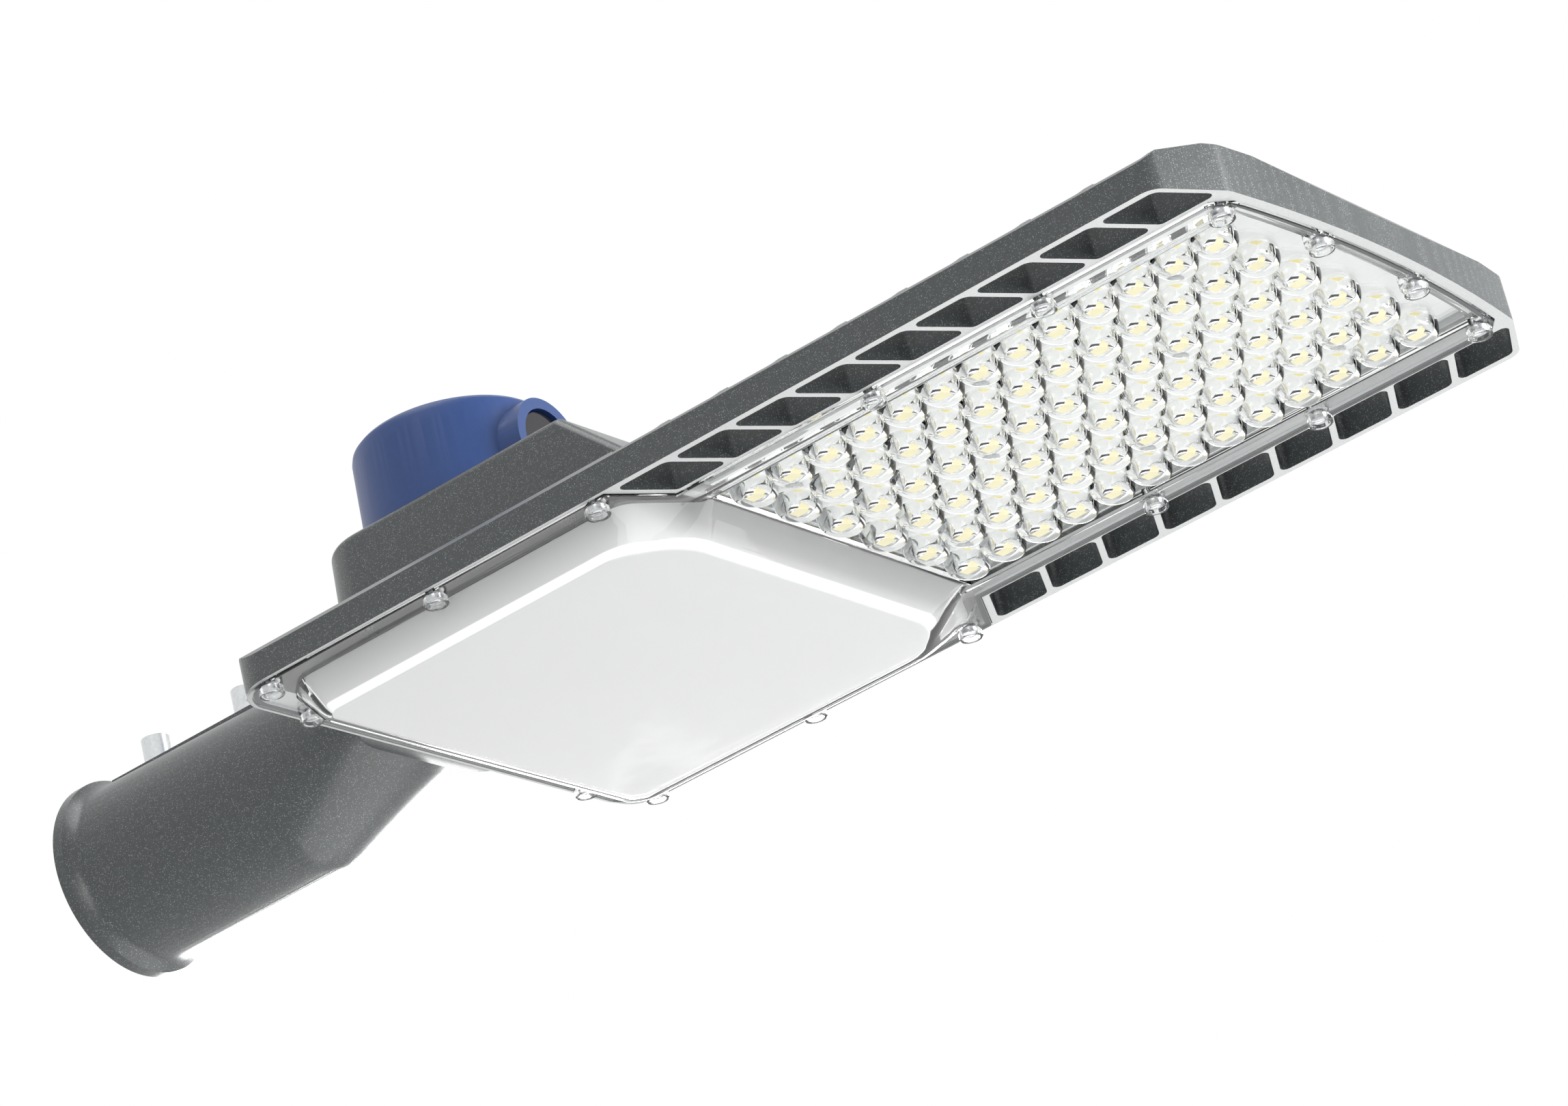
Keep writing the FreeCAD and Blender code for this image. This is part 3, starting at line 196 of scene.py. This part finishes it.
def dress(finish, *names):
    """Gives CAD solids their material."""
    for name in names:
        for material_slot in nodes[name].material_slots:
            material_slot.material = finish


zinc = satin_metal("zinc_plated_steel", "#BFC2C4", "#E4E6E7", 0.30, 1.5)
stainless = satin_metal("stainless_steel", "#A9AAAB", "#CFD0D1", 0.28, 1.0)
eased_copy("clamp_screws", 0.5, zinc)
dress(stainless, "socket_bolts", "cover_screws", "board_screws", "shroud_screws", "driver_screws",
      "earth_screw", "receptacle_screws")
dress(satin_metal("zinc_plated_sheet", "#B4B8BA", "#DCDFE0", 0.38, 6.0), "driver_plate")
dress(satin_metal("anodised_driver_case", "#9DA0A2", "#B9BCBD", 0.40, 3.0), "led_driver")
dress(satin_metal("brass_strip", "#B88F3E", "#DDBB6C", 0.30, 2.0), "contact_blades")


# Seals: EPDM rubber at the grommet and the receptacle, grey silicone round the cover and under the board.
# Moulded or cut from sheet, matt, with a faint mottle.
def moulded(name, dark, light, roughness, grain, bump_height):
    """A plastic or rubber: two close shades mixed by noise, and a fine bump of the same grain."""
    material, tree, place = start_material(name)
    noise = add(tree, "ShaderNodeTexNoise", {"Vector": place, "Scale": 1.0 / (grain * mm), "Detail": 4.0})
    shade = add(tree, "ShaderNodeMix", {
        "Factor": noise.outputs["Fac"], "A": linear(dark), "B": linear(light)}, data_type="RGBA")
    bump = add(tree, "ShaderNodeBump", {
        "Height": noise.outputs["Fac"], "Strength": 0.3, "Distance": bump_height * mm})
    shader = add(tree, "ShaderNodeBsdfPrincipled", {
        "Base Color": shade.outputs["Result"], "Roughness": roughness, "IOR": 1.5,
        "Normal": bump.outputs["Normal"]})
    end_material(tree, shader)
    return material


dress(moulded("epdm_rubber", "#0C0C0D", "#1A1A1B", 0.75, 0.8, 0.05),
      "wire_grommet", "receptacle_gasket", "control_gasket")
dress(moulded("grey_silicone", "#B0B3B5", "#C4C7C9", 0.6, 0.8, 0.04), "cover_gasket", "thermal_pad")


# Light board: aluminium-core circuit board with a white solder mask. Its copper lies under the mask as wide
# areas, one a chip, and the gaps between them show through as slightly darker lines.
chip_first_x, chip_step_x, chip_rows = 386.1, 17.6, 13
chip_step_y, chip_columns = 27.35, 6

mask_white, tree, place = start_material("white_solder_mask")
tracks = add(tree, "ShaderNodeTexBrick", {
    "Vector": place, "Color1": linear("#E9E9E8"), "Color2": linear("#E6E7E6"), "Mortar": linear("#E1E2E1"),
    "Scale": 1.0, "Mortar Size": 0.4 * mm, "Brick Width": chip_step_x * mm, "Row Height": 13.7 * mm})
mask_shader = add(tree, "ShaderNodeBsdfPrincipled", {
    "Base Color": tracks.outputs["Color"], "Roughness": 0.35, "IOR": 1.5})
end_material(tree, mask_shader)
dress(mask_white, "led_board")


# LED chips: 5 mm packages, soldered to the board in a regular grid. Each is a white plastic frame round a
# window of silicone, filled with phosphor that looks pale yellow when unlit.
phosphor, tree, place = start_material("led_phosphor")
first_chip = (chip_first_x * mm, 0.5 * chip_step_y * mm, 0.0)
half_cell = Vector((0.5 * chip_step_x * mm, 0.5 * chip_step_y * mm, 1.0))
cell = add(tree, "ShaderNodeVectorMath", {0: place, 1: first_chip}, operation="SUBTRACT")
wrapped = add(tree, "ShaderNodeVectorMath", {0: cell.outputs[0], 1: half_cell, 2: -half_cell},
              operation="WRAP")
away = add(tree, "ShaderNodeVectorMath", {0: wrapped.outputs[0]}, operation="ABSOLUTE")
sides = add(tree, "ShaderNodeSeparateXYZ", {"Vector": away.outputs[0]})
farther = add(tree, "ShaderNodeMath", {0: sides.outputs["X"], 1: sides.outputs["Y"]}, operation="MAXIMUM")
window = add(tree, "ShaderNodeMapRange", {
    "Value": farther.outputs[0], "From Min": 2.05 * mm, "From Max": 2.25 * mm, "To Min": 1.0, "To Max": 0.0})
grains = add(tree, "ShaderNodeTexNoise", {"Vector": place, "Scale": 1.0 / (0.4 * mm)})
glow = add(tree, "ShaderNodeMix", {
    "Factor": grains.outputs["Fac"], "A": linear("#EBDD92"), "B": linear("#F2E8AE")}, data_type="RGBA")
chip_colour = add(tree, "ShaderNodeMix", {
    "Factor": window.outputs[0], "A": linear("#F2F2EE"), "B": glow.outputs["Result"]}, data_type="RGBA")
chip_shader = add(tree, "ShaderNodeBsdfPrincipled", {
    "Base Color": chip_colour.outputs["Result"], "Roughness": 0.5, "IOR": 1.45})
end_material(tree, chip_shader)
dress(phosphor, "led_chips")


# Clear cover: one moulding in clear polycarbonate. A flange lies in the housing's seat, a deep sloped dome
# covers the driver, a sunken panel carries an oval lens under each chip, and 16 open cups take the screws.
cover_low, cover_top = -18.2, -15.2
panel_low, panel_top = -14.0, -12.0
dome_low, dome_wall = -29.2, 1.5
lens_half_x, lens_half_y, lens_height, lens_window = 8.1, 12.0, 6.3, 0.58
hollow_z, hollow_radius, hollow_floor_radius, hollow_square_half = -16.3, 5.6, 4.9, 2.8
cup_radius, cup_rim_radius, cup_end_z, cup_bore_radius, screw_hole_radius = 4.4, 4.9, -21.7, 3.4, 2.1
tip_screw_x, tip_screw_y = 619.3, 32.5
corner_points, round_sides = 6, 24


def rounded(corners, reach):
    """A plan loop with curved corners. Each corner is the quadratic curve from a point that far before
    it to a point that far after it, with the corner as its control point."""
    corners = np.array(corners, dtype=float)
    reach = np.broadcast_to(np.array(reach, dtype=float), len(corners))[:, None]
    before = np.roll(corners, 1, axis=0) - corners
    after = np.roll(corners, -1, axis=0) - corners
    start = corners + before / np.linalg.norm(before, axis=1)[:, None] * reach
    end = corners + after / np.linalg.norm(after, axis=1)[:, None] * reach
    t = np.linspace(0.0, 1.0, corner_points)[None, :, None]
    curve = (1 - t) ** 2 * start[:, None] + 2 * t * (1 - t) * corners[:, None] + t ** 2 * end[:, None]
    return curve.reshape(-1, 2)


def mirrored(half):
    """A whole plan loop from its corners at y > 0, taken from the rear to the front and back."""
    return [(x, y) for x, y in half] + [(x, -y) for x, y in half[::-1]]


def inset(loop, distance):
    """A loop moved inwards: each point goes along the normal of the chord between its neighbours."""
    chord = np.roll(loop, -1, axis=0) - np.roll(loop, 1, axis=0)
    normal = np.stack([chord[:, 1], -chord[:, 0]], axis=1)
    normal /= np.linalg.norm(normal, axis=1)[:, None] + 1e-9
    return loop + normal * distance


def skin(rows, closed_end=False):
    """Points and quads of a surface through equal closed loops, an array of rows x points x 3."""
    count, around = rows.shape[:2]
    index = np.arange(count * around).reshape(count, around)
    right = np.roll(index, -1, axis=1)
    quads = np.stack([index[:-1], right[:-1], right[1:], index[1:]], axis=-1).reshape(-1, 4)
    faces = quads.tolist()
    if closed_end:
        faces.append(index[-1].tolist())
    return rows.reshape(-1, 3), faces


def level(loop, z):
    """A plan loop lifted to a height."""
    return np.column_stack([loop, np.broadcast_to(z, len(loop))])


def filled(loops, z):
    """A flat sheet at one height: the first loop with all the others as holes."""
    flat = [[Vector((x, y, 0.0)) for x, y in loop] for loop in loops]
    return level(np.vstack(loops), z), [list(face) for face in tessellate_polygon(flat)]


def gather(name, surfaces, finish, slot, angle, *replaced):
    """One closed mesh from surfaces whose rims meet: merged, faced outwards, smooth below an angle."""
    counts = np.cumsum([0] + [len(points) for points, faces in surfaces])
    points = np.vstack([points for points, faces in surfaces]) * mm
    faces = [[corner + start for corner in face]
             for start, (_, group) in zip(counts.tolist(), surfaces) for face in group]
    mesh = bpy.data.meshes.new(name)
    mesh.from_pydata(points.tolist(), [], faces)
    form = bmesh.new()
    form.from_mesh(mesh)
    bmesh.ops.remove_doubles(form, verts=form.verts, dist=0.002 * mm)
    bmesh.ops.recalc_face_normals(form, faces=form.faces)
    form.to_mesh(mesh)
    form.free()
    mesh.materials.append(finish)
    mesh.shade_smooth()
    mesh.set_sharp_from_angle(angle=math.radians(angle))
    piece = bpy.data.objects.new(name, mesh)
    bpy.context.collection.objects.link(piece)
    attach(piece, "root")
    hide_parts(*replaced)
    return piece


bow_centre_x, bow_radius = -130.6, 755.5


def tip_bow(y):
    """The cover's bowed tip edge: a circle about a point on the middle line."""
    return bow_centre_x + np.sqrt(bow_radius ** 2 - y ** 2)


cover_half = [(171.0, 123.3), (357.9, 123.3), (371.5, 96.9), (613.7, 96.9), (619.6, 88.9)]
cover_loop = rounded(mirrored(cover_half), [14.0, 0.6, 0.6, 2.5, 2.5, 2.5, 2.5, 0.6, 0.6, 14.0])
bow_start = len(cover_half) * corner_points
bow_y = np.linspace(84.0, -84.0, 29)
bow = np.column_stack([tip_bow(bow_y), bow_y])
cover_loop = np.vstack([cover_loop[:bow_start], bow, cover_loop[bow_start:]])

dome_base_half = [(182.0, 100.0), (196.0, 113.0), (357.0, 113.0), (371.4, 85.2), (376.9, 81.0)]
dome_face_half = [(189.9, 92.0), (195.5, 98.0), (338.0, 98.0), (352.5, 86.5), (359.0, 72.0)]
dome_base = rounded(mirrored(dome_base_half), [5, 5, 9, 3, 3, 3, 3, 9, 5, 5])
dome_face = rounded(mirrored(dome_face_half), [3, 3, 8, 7, 7, 7, 7, 8, 3, 3])


def dome_skin(base, face, z_base, z_face):
    """The dome between two like loops: straight down the wall for 0.65 of the way in, then a quadratic
    curve that ends level with the flat face, which closes it."""
    drop = z_face - z_base
    t = np.linspace(0.0, 1.0, 9)
    bend_share = (1 - t) ** 2 * 0.645 + 2 * t * (1 - t) * 0.86 + t ** 2
    bend_depth = (1 - t) ** 2 * 0.745 + 2 * t * (1 - t) * 1.0 + t ** 2
    share = np.concatenate([[0.0, 0.35], bend_share])
    depth = np.concatenate([[0.0, 0.404], bend_depth])
    plan = base[None] + (face - base)[None] * share[:, None, None]
    height = np.broadcast_to((z_base + depth * drop)[:, None, None], plan.shape[:2] + (1,))
    return skin(np.concatenate([plan, height], axis=2), closed_end=True)


round_turn = np.linspace(0.0, 2.0 * np.pi, round_sides, endpoint=False)
round_plan = np.column_stack([np.cos(round_turn), np.sin(round_turn)])


def revolved(profile, x, y):
    """A profile of (radius, z) carried round an upright axis at (x, y)."""
    return skin(np.stack([level((x, y) + radius * round_plan, z) for radius, z in profile]))


def panel_loop(rear_x, side_y, edge, ear):
    """The lens panel's plan: square at the rear, along the bow at the tip, less a round ear of the given
    radius about each tip screw. There x is the lesser of the bow and the screw's x less
    sqrt(ear^2 - d^2), where d is how far y is from the screw's."""
    near = np.sqrt(np.linspace(0.0, 1.0, 8)) * ear
    y = np.concatenate([
        np.linspace(side_y, tip_screw_y + ear, 12)[:-1], tip_screw_y + near[::-1], tip_screw_y - near[1:],
        np.linspace(tip_screw_y - ear, 0.0, 6)[1:]])
    y = np.concatenate([y, -y[-2::-1]])
    from_ear = np.abs(np.abs(y) - tip_screw_y)
    scallop = tip_screw_x - np.sqrt(np.maximum(ear ** 2 - from_ear ** 2, 0.0))
    bowed = tip_bow(y) - edge
    x = np.where(from_ear < ear, np.minimum(bowed, scallop), bowed)
    return np.vstack([[(rear_x, -side_y), (rear_x, side_y)], np.column_stack([x, y])])


lens_turn = np.linspace(0.0, 2.0 * np.pi, 40, endpoint=False)


def lens_rim(x, y):
    """A lens's oval rim in plan."""
    return np.column_stack([x + lens_half_x * np.cos(lens_turn), y + lens_half_y * np.sin(lens_turn)])


def lens_skin(x, y):
    """A lens's outer face, hanging from its oval rim. At share r of the way out its depth is the lens's
    height times (1 - u^2.2)^(1/2.2), where u = (r - w) / (1 - w), and all of the height where r is below
    w, the share of its flat window."""
    out = np.sin(np.linspace(0.5 * np.pi, 0.0, 10))
    share = np.append(lens_window + (1.0 - lens_window) * out, 0.0)[:, None]
    across = share * lens_half_y * np.sin(lens_turn)
    along = share * lens_half_x * np.cos(lens_turn)
    bend = np.clip((share - lens_window) / (1.0 - lens_window), 0.0, 1.0)
    depth = lens_height * (1.0 - bend ** 2.2) ** (1.0 / 2.2) + 0.0 * across
    return skin(np.stack([x + along, y + across, panel_low - depth], axis=2))


def hollow_floor(x, y):
    """The flat floor of a lens's hollow: a ring from its rim in to a square, and the square."""
    square_plan = round_plan / np.abs(round_plan).max(axis=1)[:, None] * hollow_square_half
    rows = np.stack([level(round_plan * hollow_floor_radius, hollow_z), level(square_plan, hollow_z)])
    return skin(rows + (x, y, 0.0), closed_end=True)


def rings(radius, centres):
    """A plan circle about each of the given points."""
    return [round_plan * radius + centre for centre in centres]


lens_grid = [(chip_first_x + row * chip_step_x, (column - 2.5) * chip_step_y)
             for row in range(chip_rows) for column in range(chip_columns)]
hollow_profile = [(hollow_radius, panel_top), (5.3, hollow_z + 0.6), (hollow_floor_radius, hollow_z)]
cup_half = [(186.0, 118.15), (270.0, 118.15), (350.0, 118.15), (460.02, 92.0), (537.46, 92.0),
            (612.8, 88.0), (tip_screw_x, tip_screw_y), (175.9, 84.0)]
cups = cup_half + [(x, -y) for x, y in cup_half]
cup_profile = [
    (cup_radius, cover_low), (cup_rim_radius, cover_low - 0.8), (cup_rim_radius, cup_end_z + 0.3),
    (cup_rim_radius - 0.3, cup_end_z), (cup_bore_radius + 0.3, cup_end_z), (cup_bore_radius, cup_end_z + 0.3),
    (cup_bore_radius, cover_low), (screw_hole_radius, cover_low), (screw_hole_radius, cover_top)]
edge_ease = 0.35
edge_profile = [(edge_ease, cover_low), (0.0, cover_low + edge_ease), (0.0, cover_top - edge_ease),
                (edge_ease, cover_top)]

dome_inner_base = inset(dome_base, 2.6)
dome_inner_face = inset(dome_face, 1.8)
pocket = panel_loop(377.5, 82.1, 4.8, 5.8)
tub = panel_loop(375.2, 83.7, 3.2, 4.2)
flange_loop = inset(cover_loop, edge_ease)
surfaces = [
    skin(np.stack([level(inset(cover_loop, distance), z) for distance, z in edge_profile])),
    dome_skin(dome_base, dome_face, cover_low, dome_low),
    dome_skin(dome_inner_base, dome_inner_face, cover_top, dome_low + dome_wall),
    skin(np.stack([level(pocket, cover_low), level(pocket, panel_low)])),
    skin(np.stack([level(tub, cover_top), level(tub, panel_top)])),
    filled([flange_loop, dome_base, pocket] + rings(cup_radius, cups), cover_low),
    filled([flange_loop, dome_inner_base, tub] + rings(screw_hole_radius, cups), cover_top),
    filled([pocket] + [lens_rim(x, y) for x, y in lens_grid], panel_low),
    filled([tub] + rings(hollow_radius, lens_grid), panel_top)]
surfaces += [revolved(cup_profile, x, y) for x, y in cups]
surfaces += [lens_skin(x, y) for x, y in lens_grid]
surfaces += [revolved(hollow_profile, x, y) for x, y in lens_grid]
surfaces += [hollow_floor(x, y) for x, y in lens_grid]

# Polycarbonate: clear and glossy straight from a polished mould, with the faintest ripple. Shadow rays go
# through it, so the lamps reach the board behind it.
clear_polycarbonate, tree, place = start_material("clear_polycarbonate")
ripple = add(tree, "ShaderNodeTexNoise", {"Vector": place, "Scale": 1.0 / (14.0 * mm), "Detail": 1.0})
ripple_bump = add(tree, "ShaderNodeBump", {
    "Height": ripple.outputs["Fac"], "Strength": 0.15, "Distance": 0.1 * mm})
clear_shader = add(tree, "ShaderNodeBsdfPrincipled", {
    "Base Color": linear("#FEFFFF"), "Transmission Weight": 1.0, "IOR": 1.5, "Roughness": 0.02,
    "Normal": ripple_bump.outputs["Normal"]})
clear_pass = add(tree, "ShaderNodeBsdfTransparent", {"Color": linear("#FCFDFD")})
ray = add(tree, "ShaderNodeLightPath", {})
clear_mix = add(tree, "ShaderNodeMixShader", {0: ray.outputs["Is Shadow Ray"]})
tree.links.new(clear_shader.outputs[0], clear_mix.inputs[1])
tree.links.new(clear_pass.outputs[0], clear_mix.inputs[2])
end_material(tree, clear_mix)
cover = gather("cover_moulding", surfaces, clear_polycarbonate, "clear_cover", 38.0, "clear_cover")

# Each hollow's floor has a square carrying a painted image of the chip close above it, as the lens shows it.
painted_chip_image, tree, place = start_material("painted_chip_image_square")
grains = add(tree, "ShaderNodeTexNoise", {"Vector": place, "Scale": 1.0 / (0.4 * mm)})
chip_image_colour = add(tree, "ShaderNodeMix", {
    "Factor": grains.outputs["Fac"], "A": linear("#E8DFAE"), "B": linear("#F1EAC6")}, data_type="RGBA")
end_material(tree, add(tree, "ShaderNodeBsdfPrincipled", {
    "Base Color": chip_image_colour.outputs["Result"], "Roughness": 0.5, "IOR": 1.45}))
cover.data.materials.append(painted_chip_image)
centres = np.empty(3 * len(cover.data.polygons))
cover.data.polygons.foreach_get("center", centres)
corner_counts = np.empty(len(cover.data.polygons), dtype=int)
cover.data.polygons.foreach_get("loop_total", corner_counts)
# The squares on the hollow floors take the painted chip image.
is_square = (np.abs(centres[2::3] - hollow_z * mm) < 0.01 * mm) & (corner_counts == round_sides)
cover.data.polygons.foreach_set("material_index", is_square.astype(int))


# Driver compartment: a pale tray behind the dome hides the driver, its plate and its terminals. It is moulded
# in light grey ABS, satin. Its colour carries painted light by height: a painted white highlight band round
# the face, painted shade on the walls that darkens towards the rim, and more painted shade on the front wall.
tray_face_z, tray_rim_z, tray_wall = -27.4, -15.0, 1.2

pale_abs_painted_light, tree, place = start_material("pale_grey_abs_painted_light")
place_mm = add(tree, "ShaderNodeVectorMath", {0: place, "Scale": 1.0 / mm}, operation="SCALE")
tray_place = add(tree, "ShaderNodeSeparateXYZ", {"Vector": place_mm.outputs[0]})
tray_share = add(tree, "ShaderNodeMapRange", {
    "Value": tray_place.outputs["Z"], "From Min": tray_face_z, "From Max": tray_rim_z})
# Painted light: by height, a white painted highlight band near the face and painted shade on the walls.
tray_painted_light_ramp = add(tree, "ShaderNodeValToRGB", {"Fac": tray_share.outputs[0]})
tray_painted_light_ramp.color_ramp.elements[0].color = linear("#CCCBCB")
tray_painted_light_ramp.color_ramp.elements[1].color = linear("#A2A2A2")
for stop, tone in ((0.012, "#CCCBCB"), (0.025, "#FCFCFC"), (0.17, "#FCFCFC"), (0.19, "#C4C3C3")):
    tray_painted_light_ramp.color_ramp.elements.new(stop).color = linear(tone)
# Painted shade: the front wall's tone is multiplied darker towards the tip.
front_share = add(tree, "ShaderNodeMapRange", {
    "Value": tray_place.outputs["X"], "From Min": 356.0, "From Max": 366.0})
on_wall = add(tree, "ShaderNodeMapRange", {
    "Value": tray_share.outputs[0], "From Min": 0.16, "From Max": 0.2})
front_wall_painted_shade = add(tree, "ShaderNodeMath", {0: front_share.outputs[0], 1: on_wall.outputs[0]},
                 operation="MULTIPLY")
tray_colour_with_painted_light = add(tree, "ShaderNodeMix", {
    "Factor": front_wall_painted_shade.outputs[0], "A": tray_painted_light_ramp.outputs["Color"], "B": linear("#B2B2B2")},
    data_type="RGBA", blend_type="MULTIPLY")
end_material(tree, add(tree, "ShaderNodeBsdfPrincipled", {
    "Base Color": tray_colour_with_painted_light.outputs["Result"], "Roughness": 0.6, "IOR": 1.53}))
tray_rim, tray_inner_rim = inset(dome_base, 3.0), inset(dome_base, 4.3)
tray = [dome_skin(tray_rim, inset(dome_face, 2.1), tray_rim_z, tray_face_z),
        dome_skin(tray_inner_rim, inset(dome_face, 3.4), tray_rim_z, tray_face_z + tray_wall),
        skin(np.stack([level(tray_rim, tray_rim_z), level(tray_inner_rim, tray_rim_z)]))]
gather("driver_tray", tray, pale_abs_painted_light, "pale_tray", 50.0, "driver_shroud")
dress(moulded("off_white_nylon", "#D6D6D0", "#E0E0DA", 0.5, 1.5, 0.02), "terminal_block", "board_plug")
dress(moulded("black_polyamide", "#101112", "#1B1C1D", 0.5, 1.2, 0.03),
      "receptacle", "photocontrol_base", "surge_protector")
dress(moulded("green_circuit_board", "#15402A", "#1F5636", 0.4, 2.0, 0.02), "control_board")


# Photocontrol: a blue polypropylene cap, moulded, drafted and rounded at its top, which twists into its
# receptacle. A dark acrylic window, snapped into the cap, faces the tip.
blue_pp = moulded("blue_polypropylene", "#1D3B72", "#234279", 0.38, 2.5, 0.02)
eased_copy("photocontrol_cap", 0.6, blue_pp, segments=3)
dress(moulded("tinted_acrylic", "#17171C", "#1E1E24", 0.12, 4.0, 0.01), "window_disc")


# Studio: a white room, with its floor far enough down for the head to be seen from below. The lamps are
# large and soft: beyond the tip, beyond the far side, on the camera's side, below and above.
scene = bpy.context.scene
eye = Vector((1.450797, -1.737137, -0.907663))
right = Vector((0.768341, 0.601031, -0.22003))
up = Vector((0.410769, -0.19942, 0.889663))
back = right.cross(up)
camera_data = bpy.data.cameras.new("camera")
camera_data.lens = 135.0
camera_data.sensor_width = 36.0
camera_data.clip_end = 50.0
camera = bpy.data.objects.new("camera", camera_data)
camera.matrix_world = Matrix.Translation(eye) @ Matrix((right, up, back)).transposed().to_4x4()
bpy.context.collection.objects.link(camera)
scene.camera = camera
scene.view_settings.view_transform = "Standard"

aim = Vector((0.36, 0.0, 0.0))
for name, place, size, power in (
    ("tip_lamp", (2.4, 0.7, 0.1), 1.4, 74.0),
    ("far_lamp", (-1.1, 2.2, 0.35), 1.4, 46.0),
    ("camera_lamp", (1.0, -1.9, -0.6), 1.4, 11.0),
    ("low_lamp", (0.5, 0.5, -1.1), 1.6, 9.0),
    ("top_lamp", (0.2, -0.6, 1.9), 1.5, 17.0),
):
    lamp_data = bpy.data.lights.new(name, "AREA")
    lamp_data.shape = "DISK"
    lamp_data.size = size
    lamp_data.energy = power
    lamp = bpy.data.objects.new(name, lamp_data)
    lamp.location = place
    lamp.rotation_euler = (aim - Vector(place)).to_track_quat("-Z", "Y").to_euler()
    lamp.visible_camera = False
    bpy.context.collection.objects.link(lamp)

world = bpy.data.worlds.new("white_room")
world.use_nodes = True
world.node_tree.nodes.clear()
ray = add(world.node_tree, "ShaderNodeLightPath", {})
seen = add(world.node_tree, "ShaderNodeMath", {
    0: ray.outputs["Is Camera Ray"], 1: ray.outputs["Is Glossy Ray"]}, operation="MAXIMUM")
seen_through = add(world.node_tree, "ShaderNodeMath", {
    0: seen.outputs[0], 1: ray.outputs["Is Transmission Ray"]}, operation="MAXIMUM")
room_level = add(world.node_tree, "ShaderNodeMapRange", {
    "Value": seen_through.outputs[0], "To Min": 0.5, "To Max": 1.0})
room = add(world.node_tree, "ShaderNodeBackground", {
    "Color": linear("#FFFFFF"), "Strength": room_level.outputs[0]})
add(world.node_tree, "ShaderNodeOutputWorld", {"Surface": room.outputs[0]})
scene.world = world

floor_material, tree, place = start_material("studio_floor")
ray = add(tree, "ShaderNodeLightPath", {})
floor_seen = add(tree, "ShaderNodeMath", {
    0: ray.outputs["Is Camera Ray"], 1: ray.outputs["Is Glossy Ray"]}, operation="MAXIMUM")
floor_seen_through = add(tree, "ShaderNodeMath", {
    0: floor_seen.outputs[0], 1: ray.outputs["Is Transmission Ray"]}, operation="MAXIMUM")
floor_white = add(tree, "ShaderNodeEmission", {"Color": linear("#FFFFFF"), "Strength": 1.0})
floor_paint = add(tree, "ShaderNodeBsdfDiffuse", {"Color": linear("#E8E8E8")})
floor_mix = add(tree, "ShaderNodeMixShader", {0: floor_seen_through.outputs[0]})
tree.links.new(floor_paint.outputs[0], floor_mix.inputs[1])
tree.links.new(floor_white.outputs[0], floor_mix.inputs[2])
end_material(tree, floor_mix)
floor_mesh = bpy.data.meshes.new("studio_floor")
floor_half, floor_z = 12.0, -2.6
floor_corners = [(x * floor_half, y * floor_half, floor_z) for x, y in ((-1, -1), (1, -1), (1, 1), (-1, 1))]
floor_mesh.from_pydata(floor_corners, [], [(0, 1, 2, 3)])
floor_mesh.materials.append(floor_material)
floor = bpy.data.objects.new("studio_floor", floor_mesh)
bpy.context.collection.objects.link(floor)
